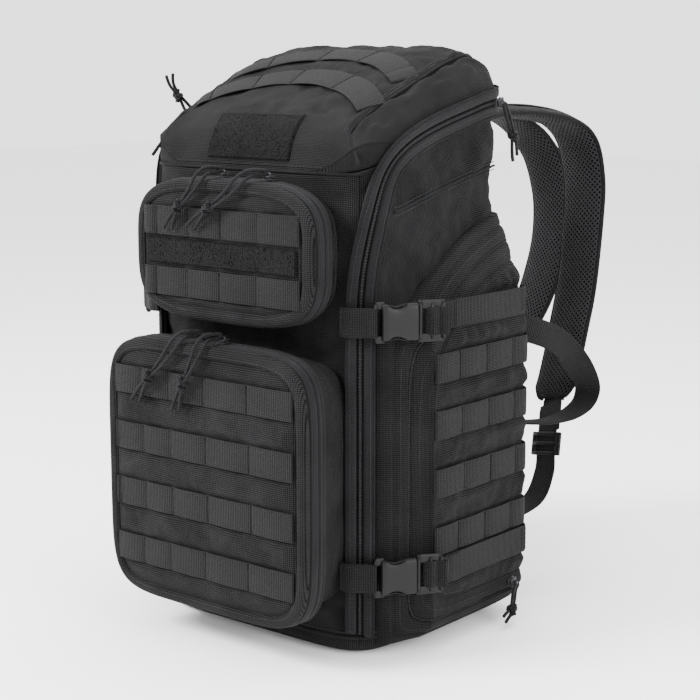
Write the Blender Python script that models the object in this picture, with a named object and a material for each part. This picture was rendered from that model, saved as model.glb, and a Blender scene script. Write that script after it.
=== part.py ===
"""Trauma backpack: a hollow bag with a hinged cap, two hinged front pocket faces, padded side
pockets, compression buckles, zip sliders with cord pulls, and a shoulder harness.
Metres, +Z up, front faces -Y, origin at the middle of the base."""

import math

import bmesh
import bpy
import numpy as np

# Main bag
BAG_W = 0.260
BAG_D = 0.216
SEAM_Z = 0.412
RIM_BACK_Z = 0.472
TOP_Z = 0.520
WALL = 0.003
BASE_INSET = 0.012
CORNER_POWER = 6.0
RIM_SHAPE = ((0, 0), (0.2, 0.27), (0.3, 0.48), (0.5, 0.68), (0.78, 0.90), (1, 1))
RIDGE_SHAPE = ((0, 0), (0.04, 0.26), (0.09, 0.40), (0.17, 0.51), (0.28, 0.62),
               (0.5, 0.83), (0.64, 0.93), (0.8, 1), (0.92, 0.98), (1, 0.9))

# Clearances
GAP = 0.0004
DRAPE = 0.0010
RIM_GAP = 0.0012

# Front pockets: width, bottom, top, how far each stands off the bag, and the gusset's share
LOWER_W = 0.233
LOWER_Z = (0.034, 0.268)
LOWER_STAND = 0.059
LOWER_TAPER = 0.0105
UPPER_W = 0.204
UPPER_Z = (0.284, 0.406)
UPPER_STAND = 0.033
UPPER_TAPER = 0.003
ZIP_BAND = 0.019
FACE_DEPTH = 0.007
CLOTH = 0.0025

# Webbing
WEB = 0.025
WEB_T = 0.0018
WEB_PITCH = 0.051
STRAP_T = 0.0020

# Side pockets
SIDE_STAND = 0.028
SIDE_Y = (0.024 - BAG_D / 2, BAG_D / 2 - 0.0045)
SIDE_BASE_Z = 0.008
SIDE_TOP_Z = (0.274, 0.370)
SIDE_FULL_Z = (0.032, 0.252)
SIDE_SLOPE = 0.036
SIDE_BACK = 0.018
SIDE_ROWS_Z = (0.0985, 0.1495, 0.2005, 0.2495)

# Main zipper
TAPE_W = 0.022
TAPE_T = 0.0022
TAPE_FOOT = 0.020
TAPE_TURN = 0.100

# Compression buckles
BUCKLE_Z = (0.074, 0.293)
BUCKLE_START = (BAG_W / 2 + 0.0035, 0.0095 - BAG_D / 2)
BUCKLE_REACH = 0.0625
FEMALE = (0.037, 0.032, 0.011)
MALE_L = 0.024
TONGUE = (0.021, 0.0255, 0.0062)
SOCKET_CLEAR = 0.0005
BUCKLE_RISE = 0.007275
BUCKLE_TURN = math.acos((SIDE_STAND + BUCKLE_RISE) / (FEMALE[0] + MALE_L + SOCKET_CLEAR))

# Harness
PAD_W = 0.050
PAD_T = 0.012

# Sliders and pulls
SLIDER = (0.008, 0.011, 0.0045)
CORD_D = 0.003


def outline(half_w, half_d, count):
    """Rounded rectangle (a superellipse), evenly spaced along its length, from +X turning to +Y."""
    t = np.linspace(0, 2 * np.pi, 4001)
    x = half_w * np.sign(np.cos(t)) * np.abs(np.cos(t)) ** (2 / CORNER_POWER)
    y = half_d * np.sign(np.sin(t)) * np.abs(np.sin(t)) ** (2 / CORNER_POWER)
    run = np.concatenate([[0], np.cumsum(np.hypot(np.diff(x), np.diff(y)))])
    at = np.linspace(0, run[-1], count, endpoint=False)
    return np.stack([np.interp(at, run, x), np.interp(at, run, y)], 1)


def shape(table, share):
    """Height share read from a table of (depth share, height share)."""
    at, height = np.array(table, float).T
    return np.interp(share, at, height)


def rim_z(y):
    """Height of the zipped rim: low at the front seam, high at the back."""
    return SEAM_Z + (RIM_BACK_Z - SEAM_Z) * shape(RIM_SHAPE, y / BAG_D + 0.5)


def cap_z(x, y):
    """Outer height of the cap over a plan point."""
    ridge = SEAM_Z + (TOP_Z - SEAM_Z) * shape(RIDGE_SHAPE, y / BAG_D + 0.5)
    power = CORNER_POWER
    reach = np.abs(2 * x / BAG_W) ** power + (np.maximum(y, 0) * 2 / BAG_D) ** power
    return rim_z(y) + (ridge - rim_z(y)) * np.maximum(1 - reach, 0) ** 0.5


def bag_front(x):
    """The bag's front surface in y at a given x."""
    return -BAG_D / 2 * (1 - np.minimum(np.abs(2 * x / BAG_W), 1) ** CORNER_POWER) ** (1 / CORNER_POWER)


def bag_side(y):
    """The bag's side surface in x at a given y."""
    return BAG_W / 2 * (1 - np.minimum(np.abs(2 * y / BAG_D), 1) ** CORNER_POWER) ** (1 / CORNER_POWER)


def material(name, colour, rough):
    made = bpy.data.materials.new(name)
    made.use_nodes = True
    shader = made.node_tree.nodes["Principled BSDF"]
    shader.inputs["Base Color"].default_value = (*colour, 1.0)
    shader.inputs["Roughness"].default_value = rough
    return made


NYLON = ((0.030, 0.030, 0.032), 0.85)
WEBBING = ((0.022, 0.022, 0.024), 0.75)
LOOP = ((0.014, 0.014, 0.015), 0.95)
PLASTIC = ((0.018, 0.018, 0.020), 0.35)
MESH = ((0.026, 0.026, 0.028), 0.9)
BOARD = ((0.06, 0.06, 0.065), 0.5)
ZIP = ((0.020, 0.020, 0.021), 0.6)
CORD = ((0.018, 0.018, 0.019), 0.7)
METAL = ((0.05, 0.05, 0.055), 0.35)


def solid(name, points, faces, look, origin=(0, 0, 0), smooth=False):
    """A closed mesh object whose origin sits at the given world point."""
    mesh = bpy.data.meshes.new(name)
    made = bmesh.new()
    corners = [made.verts.new(p) for p in np.asarray(points, float) - np.asarray(origin, float)]
    for face in faces:
        made.faces.new([corners[i] for i in face])
    bmesh.ops.recalc_face_normals(made, faces=made.faces)
    made.to_mesh(mesh)
    made.free()
    for polygon in mesh.polygons:
        polygon.use_smooth = smooth
    item = bpy.data.objects.new(name, mesh)
    item.location = origin
    mesh.materials.append(material(name, *look))
    bpy.context.scene.collection.objects.link(item)
    return item


def loft(name, rings, look, origin=(0, 0, 0), looped=False, smooth=False):
    """Rings of equal count joined in order, looped on themselves or closed by a fan at each end."""
    rings = np.asarray(rings, float)
    rows, count = rings.shape[:2]
    points = list(rings.reshape(-1, 3))
    faces = []
    for i in range(rows if looped else rows - 1):
        j = (i + 1) % rows
        for k in range(count):
            n = (k + 1) % count
            faces.append((i * count + k, i * count + n, j * count + n, j * count + k))
    if not looped:
        for row in (0, rows - 1):
            points.append(rings[row].mean(0))
            hub = len(points) - 1
            faces += [(row * count + k, row * count + (k + 1) % count, hub) for k in range(count)]
    return solid(name, points, faces, look, origin, smooth)


def plate(name, u, v, place, thick, look, origin=(0, 0, 0), keep=None, smooth=False):
    """A sheet of cells over a surface, between place(u, v, 0) and place(u, v, thick)."""
    gu, gv = np.meshgrid(u, v, indexing="ij")
    keep = np.ones((len(u) - 1, len(v) - 1), bool) if keep is None else keep
    thick = np.broadcast_to(thick, gu.shape)
    layers = np.concatenate([place(gu, gv, 0 * gu).reshape(-1, 3), place(gu, gv, thick).reshape(-1, 3)])
    size = gu.size

    def at(i, j, top):
        return i * len(v) + j + top * size

    padded = np.pad(keep, 1)
    faces = []
    for i, j in np.argwhere(keep):
        square = [(i, j), (i + 1, j), (i + 1, j + 1), (i, j + 1)]
        beside = [padded[i + 1, j], padded[i + 2, j + 1], padded[i + 1, j + 2], padded[i, j + 1]]
        faces.append([at(*c, 0) for c in square])
        faces.append([at(*c, 1) for c in square])
        for side in range(4):
            if not beside[side]:
                one, two = square[side], square[(side + 1) % 4]
                faces.append([at(*one, 0), at(*two, 0), at(*two, 1), at(*one, 1)])
    used = sorted({i for face in faces for i in face})
    renumber = {old: new for new, old in enumerate(used)}
    faces = [[renumber[i] for i in face] for face in faces]
    return solid(name, layers[used], faces, look, origin, smooth)


def smooth_route(points, count):
    """Catmull-Rom curve through hand-chosen points, evenly spaced."""
    p = np.asarray(points, float)
    p = np.vstack([2 * p[0] - p[1], p, 2 * p[-1] - p[-2]])
    t = np.linspace(0, 1, 24, endpoint=False)[:, None]
    parts = []
    for a, b, c, d in zip(p[:-3], p[1:-2], p[2:-1], p[3:]):
        bend = (2 * a - 5 * b + 4 * c - d) * t**2
        parts.append(b + 0.5 * ((c - a) * t + bend + (3 * b - a - 3 * c + d) * t**3))
    fine = np.vstack(parts + [p[-2][None]])
    run = np.concatenate([[0], np.cumsum(np.linalg.norm(np.diff(fine, axis=0), axis=1))])
    at = np.linspace(0, run[-1], count)
    return np.stack([np.interp(at, run, fine[:, k]) for k in range(3)], 1)


def unit(vectors):
    return vectors / np.linalg.norm(vectors, axis=-1, keepdims=True)


def section(half_w, half_t, cut):
    """Rectangle with cut corners, as eight (across, through) pairs."""
    w, t = half_w - cut, half_t - cut
    right = [(w, -half_t), (half_w, -t), (half_w, t), (w, half_t)]
    left = [(-w, half_t), (-half_w, t), (-half_w, -t), (-w, -half_t)]
    return np.array(right + left)


def band(name, route, across, width, thick, look, cut=0.0004, origin=(0, 0, 0), smooth=False):
    """A strip swept along a route, with its width along the across direction at each point."""
    route = np.asarray(route, float)
    along = unit(np.gradient(route, axis=0))
    across = np.broadcast_to(np.asarray(across, float), route.shape)
    across = unit(across - along * (across * along).sum(1, keepdims=True))
    through = np.cross(along, across)
    pairs = section(width / 2, thick / 2, cut)
    rings = route[:, None] + pairs[None, :, :1] * across[:, None] + pairs[None, :, 1:] * through[:, None]
    return loft(name, rings, look, origin, smooth=smooth)


def block(name, centre, axes, stations, look, cut=0.0008, origin=(0, 0, 0)):
    """Cut-cornered rectangles stacked along axes[0]; stations are (distance, full width, full thickness)."""
    axes = np.asarray(axes, float)
    rings = []
    for distance, width, thick in stations:
        pairs = section(width / 2, thick / 2, cut)
        rings.append(np.asarray(centre) + distance * axes[0] + pairs @ axes[1:])
    return loft(name, rings, look, origin)


def bag():
    """Tapered base, upright walls and an open sloping rim."""
    half_w, half_d = BAG_W / 2, BAG_D / 2
    count = 48

    def level(inset, z):
        ring = outline(half_w - inset, half_d - inset, count)
        height = rim_z(ring[:, 1]) if z is None else np.full(count, z)
        return np.column_stack([ring, height])

    shoulder = BASE_INSET
    rings = [level(BASE_INSET, 0), level(BASE_INSET / 3, shoulder / 3), level(0, shoulder), level(0, None)]
    rings += [level(WALL, None), level(WALL, shoulder), level(BASE_INSET + WALL, WALL)]
    loft("main_bag", rings, NYLON)


def cap():
    """Domed lid, a shell that meets the rim all round and turns about the front seam."""
    half_w, half_d = BAG_W / 2, BAG_D / 2
    count = 48
    shares = (1.0, 0.996, 0.965, 0.91, 0.83, 0.72, 0.58, 0.4, 0.2)
    outer, inner = [], []
    for share in shares:
        ring = outline(half_w, half_d, count) * share
        under = outline(half_w - WALL, half_d - WALL, count) * share
        floor, floor_in = rim_z(ring[:, 1]) + RIM_GAP, rim_z(under[:, 1]) + RIM_GAP
        if share == 1.0:
            high, low = floor, floor_in
        else:
            high = np.maximum(cap_z(*ring.T) + RIM_GAP, floor + WALL * 0.6)
            low = np.maximum(cap_z(*under.T) + RIM_GAP - WALL, floor_in + GAP)
        outer.append(np.column_stack([ring, high]))
        inner.append(np.column_stack([under, low]))
    loft("cap_lid", outer[::-1] + inner, NYLON, cap_axis())


def cap_axis():
    return (0, -BAG_D / 2, SEAM_Z)


def on_cap(x, y, lift):
    """A point standing off the cap's surface along its normal."""
    step = 0.002
    z = cap_z(x, y)
    slope_x = (cap_z(x + step, y) - cap_z(x - step, y)) / (2 * step)
    slope_y = (cap_z(x, y + step) - cap_z(x, y - step)) / (2 * step)
    normal = unit(np.stack([-slope_x, -slope_y, np.ones_like(z)], -1))
    return np.stack([x, y, z + RIM_GAP], -1) + normal * (DRAPE + lift)[..., None]


def before_cap(x, z, lift):
    """A point standing forward of the cap's steep front."""
    fine = np.linspace(-0.5, 0.1, 200) * BAG_D
    pairs = zip(x.ravel(), z.ravel())
    y = [np.interp(height, cap_z(across, fine) + RIM_GAP, fine) for across, height in pairs]
    return np.stack([x, np.reshape(y, x.shape) - DRAPE * 1.5 - lift, z], -1)


def cap_trim():
    """Two sewn webbing rows with their edge tapes, and the hook-and-loop patch on the front slope."""
    half = BAG_W * 0.34
    x = np.array([-half, -half + 0.006, -0.6 * half, -0.2 * half, 0.2 * half, 0.6 * half, half - 0.006, half])
    y = BAG_D * np.array([-0.245, -0.195, -0.145, -0.06, -0.02, 0.03, 0.08])
    keep = np.ones((7, 6), bool)
    keep[1:-1, 2:4] = False
    plate("cap_webbing", x, y, on_cap, WEB_T, WEBBING, cap_axis(), keep)
    half_w, low, high = 0.047, SEAM_Z + 0.009, SEAM_Z + 0.049
    across, up = np.linspace(-half_w, half_w, 7), np.linspace(low, high, 5)
    plate("cap_patch", across, up, before_cap, 0.002, LOOP, cap_axis())


class Pocket:
    """The measures that a front pocket's gusset, zipper, face and trim all share."""

    def __init__(self, name, width, span, stand, taper, power):
        self.name, self.width, self.span, self.taper, self.power = name, width, span, taper, power
        self.face_y = -BAG_D / 2 - stand
        self.hinge_y = self.face_y + FACE_DEPTH
        self.band_y = self.hinge_y + GAP
        self.gusset_y = self.band_y + ZIP_BAND
        self.axis = (0, self.hinge_y, span[0])

    def ring(self, inset, y):
        """Rounded rectangle in the XZ plane; with no y it follows the bag's front."""
        count = 40
        t = (np.arange(count) + 0.5) / count * 2 * np.pi
        power = 2 / self.power
        x = (self.width / 2 - inset) * np.sign(np.cos(t)) * np.abs(np.cos(t)) ** power
        half = (self.span[1] - self.span[0]) / 2
        z = half + self.span[0] + (half - inset) * np.sign(np.sin(t)) * np.abs(np.sin(t)) ** power
        depth = bag_front(x) - GAP if y is None else np.full(count, y)
        return np.stack([x, depth, z], 1)

    def make(self):
        gusset = [self.ring(self.taper, None), self.ring(0, self.gusset_y + GAP)]
        gusset += [self.ring(CLOTH, self.gusset_y + GAP), self.ring(self.taper + CLOTH, None)]
        loft(self.name + "_gusset", gusset, NYLON, looped=True)
        out = -0.0008
        tape = [self.ring(out, self.gusset_y), self.ring(out, self.band_y)]
        tape += [self.ring(CLOTH, self.band_y), self.ring(CLOTH, self.gusset_y)]
        loft(self.name + "_zipper", tape, ZIP, looped=True)
        face = [self.ring(0.003, self.face_y), self.ring(0, self.face_y + 0.003), self.ring(0, self.hinge_y)]
        face += [self.ring(CLOTH, self.hinge_y), self.ring(CLOTH, self.face_y + 0.004)]
        face += [self.ring(0.0045, self.face_y + CLOTH)]
        loft(self.name + "_face", face, NYLON, self.axis)

    def on_face(self, x, z, lift):
        return np.stack([x, self.face_y - DRAPE / 2 - lift, z], -1)


def field(name, columns, rows, place, look, thick, origin=(0, 0, 0)):
    """Webbing rows held together by the tape they are sewn under at each end."""
    edges = sorted({z for centre in rows for z in (centre - WEB / 2, centre + WEB / 2)})
    keep = np.ones((len(columns) - 1, len(edges) - 1), bool)
    keep[1:-1, 1::2] = False
    plate(name, columns, np.array(edges), place, thick, look, origin, keep)


def front_pockets():
    """Both front pockets, each with a face hinged along its bottom edge and webbing on the face."""
    lower = Pocket("lower_pocket", LOWER_W, LOWER_Z, LOWER_STAND, LOWER_TAPER, 6)
    upper = Pocket("upper_pocket", UPPER_W, UPPER_Z, UPPER_STAND, UPPER_TAPER, 3.6)
    lower.make()
    upper.make()
    edge = 0.005
    half = LOWER_W / 2 - edge
    top = LOWER_Z[1] - 0.0385
    rows = [top - WEB_PITCH * k for k in range(4)]
    columns = [-half, edge - half, half - edge, half]
    field("lower_webbing", columns, rows, lower.on_face, WEBBING, WEB_T, lower.axis)
    half = UPPER_W / 2 - 2 * edge
    rows = [UPPER_Z[0] + 0.032, UPPER_Z[0] + 0.085]
    columns = [-half, edge - half, half - edge, half]
    field("upper_webbing", columns, rows, upper.on_face, WEBBING, WEB_T, upper.axis)
    middle = (rows[0] + rows[1]) / 2
    strip = WEB / 2 - 0.001
    half -= edge + GAP
    z = np.array([middle - strip, middle + strip])
    plate("upper_loop_strip", np.array([-half, half]), z, upper.on_face, 0.002, LOOP, upper.axis)
    return lower, upper


def side_top(y):
    """The side pocket's top edge climbs towards the back."""
    share = np.clip((y - SIDE_Y[0]) / (SIDE_Y[1] - SIDE_Y[0]), 0, 1)
    return SIDE_TOP_Z[0] + (SIDE_TOP_Z[1] - SIDE_TOP_Z[0]) * np.sin(share * np.pi / 2)


def side_face(y, z):
    """The side pocket's outer surface in x: sloping gussets in front, at the back, below and above."""
    front = np.clip((y - SIDE_Y[0]) / SIDE_SLOPE, 0, 1)
    back = np.clip((SIDE_Y[1] - y) / SIDE_BACK, 0, 1)
    low = np.clip((z - SIDE_BASE_Z) / (SIDE_FULL_Z[0] - SIDE_BASE_Z), 0, 1)
    high = np.clip((side_top(y) - z) / (side_top(y) - SIDE_FULL_Z[1]), 0, 1)
    fall = np.sqrt(np.maximum(1 - (1 - back) ** 2, 0)) * np.sqrt(np.maximum(1 - (1 - low) ** 2, 0))
    least = bag_side(y) + DRAPE + CLOTH
    return least + (BAG_W / 2 + SIDE_STAND - least) * front * fall * np.sin(high * np.pi / 2)


def on_side(y, z, lift, hand):
    """A point standing off the outer face of the side pocket."""
    return np.stack([hand * (side_face(y, z) + lift), y, z], -1)


def side_pocket(hand, tag):
    """Padded side pocket, its webbing rows, and the straps that cross it."""
    front = SIDE_Y[0] + SIDE_SLOPE * np.array([0, 0.35, 0.7, 1])
    back = SIDE_Y[1] - SIDE_BACK * np.array([1.6, 1, 0.6, 0.3, 0.1, 0])
    y = np.concatenate([front, np.linspace(-0.02, 0.055, 4), back])
    share = np.array([0, 0.02, 0.05, 0.09, 0.4, 0.66, 0.72, 0.78, 0.84, 0.9, 0.96, 1])

    def cushion(gy, gs, lift):
        z = SIDE_BASE_Z + gs * (side_top(gy) - SIDE_BASE_Z)
        x = np.where(lift > 0, side_face(gy, z), bag_side(gy) + DRAPE)
        return np.stack([hand * x, gy, z], -1)

    plate("side_pocket_" + tag, y, share, cushion, 1.0, NYLON)

    def draped(gy, gz, lift):
        return on_side(gy, gz, DRAPE + lift, hand)

    def over(gy, gz, lift):
        return on_side(gy, gz, 2.5 * DRAPE + lift, hand)

    last = SIDE_Y[1] - SIDE_BACK * 0.4
    tape = 0.004
    first = SIDE_Y[0] + SIDE_SLOPE
    bend = SIDE_Y[1] - np.array([1.6, 1]) * SIDE_BACK
    columns = np.concatenate([[first, first + tape], np.linspace(-0.01, 0.03, 2), bend, [last - tape, last]])
    field("side_webbing_" + tag, columns, SIDE_ROWS_Z, draped, WEBBING, WEB_T)
    ends = (("lower", BUCKLE_Z[0]), ("upper", BUCKLE_Z[1]))
    for level, z in ends:
        reach = np.concatenate([[BUCKLE_START[1] + BUCKLE_REACH], y[4:-2]])
        rows = z + WEB * np.linspace(-0.5, 0.5, 5)
        if level == "lower":
            rows = rows - (BUCKLE_Z[0] + WEB + 0.0015 - SIDE_ROWS_Z[0])
        plate(f"{level}_strap_{tag}", reach, rows, over, STRAP_T, WEBBING)
        buckle(hand, tag, level, z)


def buckle(hand, tag, level, z):
    """Side-release buckle: the hollow half is sewn at the corner, the pronged half pulls out."""
    along = np.array([hand * math.cos(BUCKLE_TURN), math.sin(BUCKLE_TURN), 0])
    out = np.array([hand * math.sin(BUCKLE_TURN), -math.cos(BUCKLE_TURN), 0])
    axes = (along, (0, 0, 1), out)
    start = np.array([hand * BUCKLE_START[0], BUCKLE_START[1], z])
    length, wide, thick = FEMALE
    deep = length - TONGUE[0] - 2 * SOCKET_CLEAR
    bore_w, bore_t = TONGUE[1] + 2 * SOCKET_CLEAR, TONGUE[2] + 2 * SOCKET_CLEAR
    shell = [(0, wide * 0.86, thick * 0.6), (length * 0.25, wide, thick), (length, wide, thick)]
    shell += [(length, bore_w, bore_t), (deep, bore_w, bore_t)]
    block(f"{level}_buckle_socket_{tag}", start, axes, shell, PLASTIC)
    base = start + along * (length + SOCKET_CLEAR)
    prong = [(-TONGUE[0] - SOCKET_CLEAR, TONGUE[1] * 0.9, TONGUE[2]), (0, TONGUE[1], TONGUE[2])]
    prong += [(0.0001, wide, thick * 0.8), (MALE_L, wide * 0.92, thick * 0.55)]
    block(f"{level}_buckle_clip_{tag}", base, axes, prong, PLASTIC, origin=tuple(base))


def main_zipper():
    """One tape up the right corner, back along the rim, across the back and down the left side."""
    half_w, half_d = BAG_W / 2, BAG_D / 2
    lift = GAP + TAPE_T / 2
    ring = outline(half_w + lift, half_d + lift, 720)
    right = ring[ring[:, 0] > 0]
    corner = right[np.argmin(np.abs(right[:, 0] * half_d + right[:, 1] * half_w))]
    side = right[right[:, 1] > corner[1]]
    side = side[np.argsort(np.arctan2(side[:, 1], side[:, 0]))]
    turn_z = SEAM_Z - TAPE_TURN
    lead = corner[1] + (BAG_D * 0.10)
    route = [(*corner, z) for z in np.linspace(TAPE_FOOT, turn_z - 0.03, 4)]
    share = np.linspace(0, 1, 7)[1:]
    bend_y = corner[1] + (lead - corner[1]) * share**1.6
    bend_x = np.interp(bend_y, side[:, 1], side[:, 0])
    route += list(zip(bend_x, bend_y, turn_z + (rim_z(lead) - turn_z) * share))
    arc = side[side[:, 1] > lead + 2 * TAPE_T]
    route += [(x, y, rim_z(np.minimum(y, half_d))) for x, y in arc[:: max(1, len(arc) // 22)]]
    route = np.array([p for p in route if p[0] > TAPE_W / 2])
    plan = route * (1 / half_w, 1 / half_d, 0)
    normal = np.sign(plan) * np.abs(plan) ** (CORNER_POWER - 1) * (half_d, half_w, 0)
    sideways = np.cross(unit(normal), unit(np.gradient(route, axis=0)))
    mirrored = route[::-1] * (-1, 1, 1)
    turned = sideways[::-1] * (1, -1, -1)
    band("main_zipper", np.vstack([route, mirrored]), np.vstack([sideways, turned]), TAPE_W, TAPE_T, ZIP)


def slider(name, at, axes):
    """Zip slider: a small tapered block."""
    length, wide, thick = SLIDER
    stations = [(-length / 2, wide * 0.7, thick), (0, wide, thick), (length / 2, wide, thick)]
    block(name, at, axes, stations, METAL, origin=tuple(at))


def pull(name, route, origin):
    """Cord pull hanging from a slider, round in section with closed ends."""
    points = smooth_route(route, max(6, int(route_length(route) / (2.4 * CORD_D)) + 1))
    curve = bpy.data.curves.new(name, "CURVE")
    curve.dimensions = "3D"
    curve.bevel_depth = CORD_D / 2
    curve.bevel_resolution = 2
    curve.use_fill_caps = True
    line = curve.splines.new("POLY")
    line.points.add(len(points) - 1)
    placed = np.column_stack([points - np.asarray(origin), np.ones(len(points))])
    line.points.foreach_set("co", placed.ravel())
    curve.materials.append(material(name, *CORD))
    item = bpy.data.objects.new(name, curve)
    item.location = origin
    bpy.context.scene.collection.objects.link(item)


def route_length(route):
    return float(np.linalg.norm(np.diff(np.asarray(route), axis=0), axis=1).sum())


def pocket_pulls(pocket, places):
    """Sliders on top of a pocket's zipper, with cords draped over the edge and down the face."""
    top = pocket.span[1]
    front = pocket.face_y - WEB_T - DRAPE - CORD_D
    across = ((1, 0, 0), (0, 1, 0), (0, 0, 1))
    for tag, x, drift, drop in places:
        lift = top + 0.0008 + GAP + SLIDER[2] / 2
        at = np.array([x, pocket.band_y + ZIP_BAND / 2, lift])
        slider(f"{pocket.name}_slider_{tag}", at, across)
        eye = at + (0, -SLIDER[1] / 2 - CORD_D / 2 - GAP, 0.0005)
        route = [eye, (x + drift * 0.12, pocket.face_y - 0.001, top + 0.0045)]
        draped = ((0.35, 0.002, 0.22), (0.62, 0.003, 0.5), (0.85, 0.001, 0.78), (1, 0, 1))
        route += [(x + drift * way, front - off, top - drop * down) for way, off, down in draped]
        pull(f"{pocket.name}_cord_{tag}", route, tuple(at))


def rim_pulls(hand, tag, y, hang):
    """Slider on the main zipper beside the cap, and its hanging cord."""
    slope = (rim_z(y) - rim_z(y - 0.04)) / 0.04
    along = unit(np.array([0, 1, slope]))
    out = np.array([hand, 0, 0])
    at = np.array([hand * (BAG_W / 2 + 2 * GAP + TAPE_T + SLIDER[2] / 2 + 0.0008), y, rim_z(y)])
    slider(f"main_slider_{tag}", at, (along, np.cross(out, along), out))
    reach = at + out * (SLIDER[2] / 2 + CORD_D / 2 + 2 * GAP)
    route = [reach] + [reach + (hand * dx, dy, dz) for dx, dy, dz in hang]
    pull(f"main_cord_{tag}", route, tuple(at))


def side_pulls(hand, tag):
    """Slider on the side pocket's zipper near its low back corner, with a cord lying beside it."""
    y, z = SIDE_Y[1] - 0.0335, SIDE_FULL_Z[0] + 0.002
    at = on_side(np.array(y), np.array(z), 0.0016 + SLIDER[2] / 2, hand)
    out = np.array([hand, 0, 0])
    slider(f"side_slider_{tag}", at, ((0, 1, 0), (0, 0, 1), out))
    reach = at + out * (SLIDER[2] / 2 + CORD_D / 2 + 2 * GAP)
    steps = ((0.001, -0.004, -0.008), (0.003, -0.011, -0.017), (0.006, -0.020, -0.0225))
    steps += ((0.008, -0.031, -0.0262),)
    route = [reach] + [reach + (hand * dx, dy, dz) for dx, dy, dz in steps]
    pull(f"side_cord_{tag}", route, tuple(at))


# Points of the harness as (x, distance behind the back wall, z)
STRAP_ROUTES = {
    "right": [
        (0.062, 0.01, 0.452), (0.063, 0.062, 0.456), (0.067, 0.117, 0.4535), (0.074, 0.164, 0.444),
        (0.081, 0.187, 0.424), (0.087, 0.192, 0.39), (0.091, 0.1865, 0.3549), (0.097, 0.1675, 0.286),
        (0.102, 0.1446, 0.2384), (0.106, 0.124, 0.201), (0.109, 0.107, 0.176),
    ],
    "left": [
        (-0.062, 0.01, 0.452), (-0.056, 0.082, 0.458), (-0.044, 0.167, 0.455), (-0.026, 0.227, 0.44),
        (-0.006, 0.252, 0.408), (0.008, 0.255, 0.3665), (0.014, 0.248, 0.325), (0.012, 0.238, 0.285),
        (0.003, 0.226, 0.243), (-0.014, 0.204, 0.2), (-0.034, 0.177, 0.166),
    ],
}
TAIL_ROUTES = {
    "right": [
        (0.11, 0.103, 0.171), (0.1165, 0.0895, 0.157), (0.12, 0.08, 0.133), (0.1215, 0.075, 0.108),
        (0.119, 0.056, 0.083), (0.108, 0.0045, 0.07),
    ],
    "left": [
        (-0.038, 0.172, 0.161), (-0.058, 0.148, 0.142), (-0.076, 0.124, 0.124),
        (-0.09, 0.098, 0.104), (-0.102, 0.057, 0.082), (-0.108, 0.0045, 0.07),
    ],
}


def harness(tag):
    """Padded shoulder strap, the webbing from its end to the low corner, and the adjuster on it."""
    route = smooth_route(STRAP_ROUTES[tag], 18) + (0, BAG_D / 2, 0)
    lean = np.linspace(0, 1, 18)[:, None]
    across = (1 - lean) * (1, 0, 0) + lean * (0.95, -0.31, 0)
    band("shoulder_strap_" + tag, route, across, PAD_W, PAD_T, MESH, cut=0.004)
    tail = smooth_route(TAIL_ROUTES[tag], 12) + (0, BAG_D / 2, 0)
    spread = np.linspace(0, 1, 12)[:, None]
    sideways = (1 - spread) * (0.95, -0.31, 0) + spread * (1, 0, 0)
    band("strap_tail_" + tag, tail, sideways, WEB, STRAP_T, WEBBING)
    middle = tail[3]
    along = unit(tail[4] - tail[2])
    wide = sideways[3] - along * (sideways[3] @ along)
    wide = unit(wide)
    thin = np.cross(along, wide)
    rings = []
    for width, thick in ((0.034, 0.009), (WEB + 0.0022, STRAP_T + 0.0034)):
        pairs = section(width / 2, thick / 2, 0.0003)
        for end in ((-0.008, 0.008) if width > 0.03 else (0.008, -0.008)):
            rings.append(middle + end * along + pairs @ np.array([wide, thin]))
    loft("strap_adjuster_" + tag, rings, PLASTIC, looped=True)


def grab_handle(hand, tag):
    """Webbing loop from the side seam out behind the bag and back to the back panel."""
    spine = [
        (-0.018, 0.005, 0.266), (0.002, 0.013, 0.262), (0.016, 0.05, 0.247), (0.02, 0.08, 0.224),
        (0.02, 0.102, 0.2), (0.019, 0.106, 0.186), (0.018, 0.096, 0.175),
        (0.015, 0.07, 0.168), (0.008, 0.037, 0.168), (-0.022, 0.005, 0.17),
    ]
    route = smooth_route(np.array(spine) + (BAG_W / 2, BAG_D / 2, 0), 22) * (hand, 1, 1)
    turn = np.clip(np.linspace(-0.6, 2.0, 22), 0, 1)[:, None]
    across = (1 - turn) * (0, 0.3, 0.95) + turn * (hand, 0.2, 0)
    band("grab_handle_" + tag, route, across, WEB, STRAP_T, WEBBING)


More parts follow.
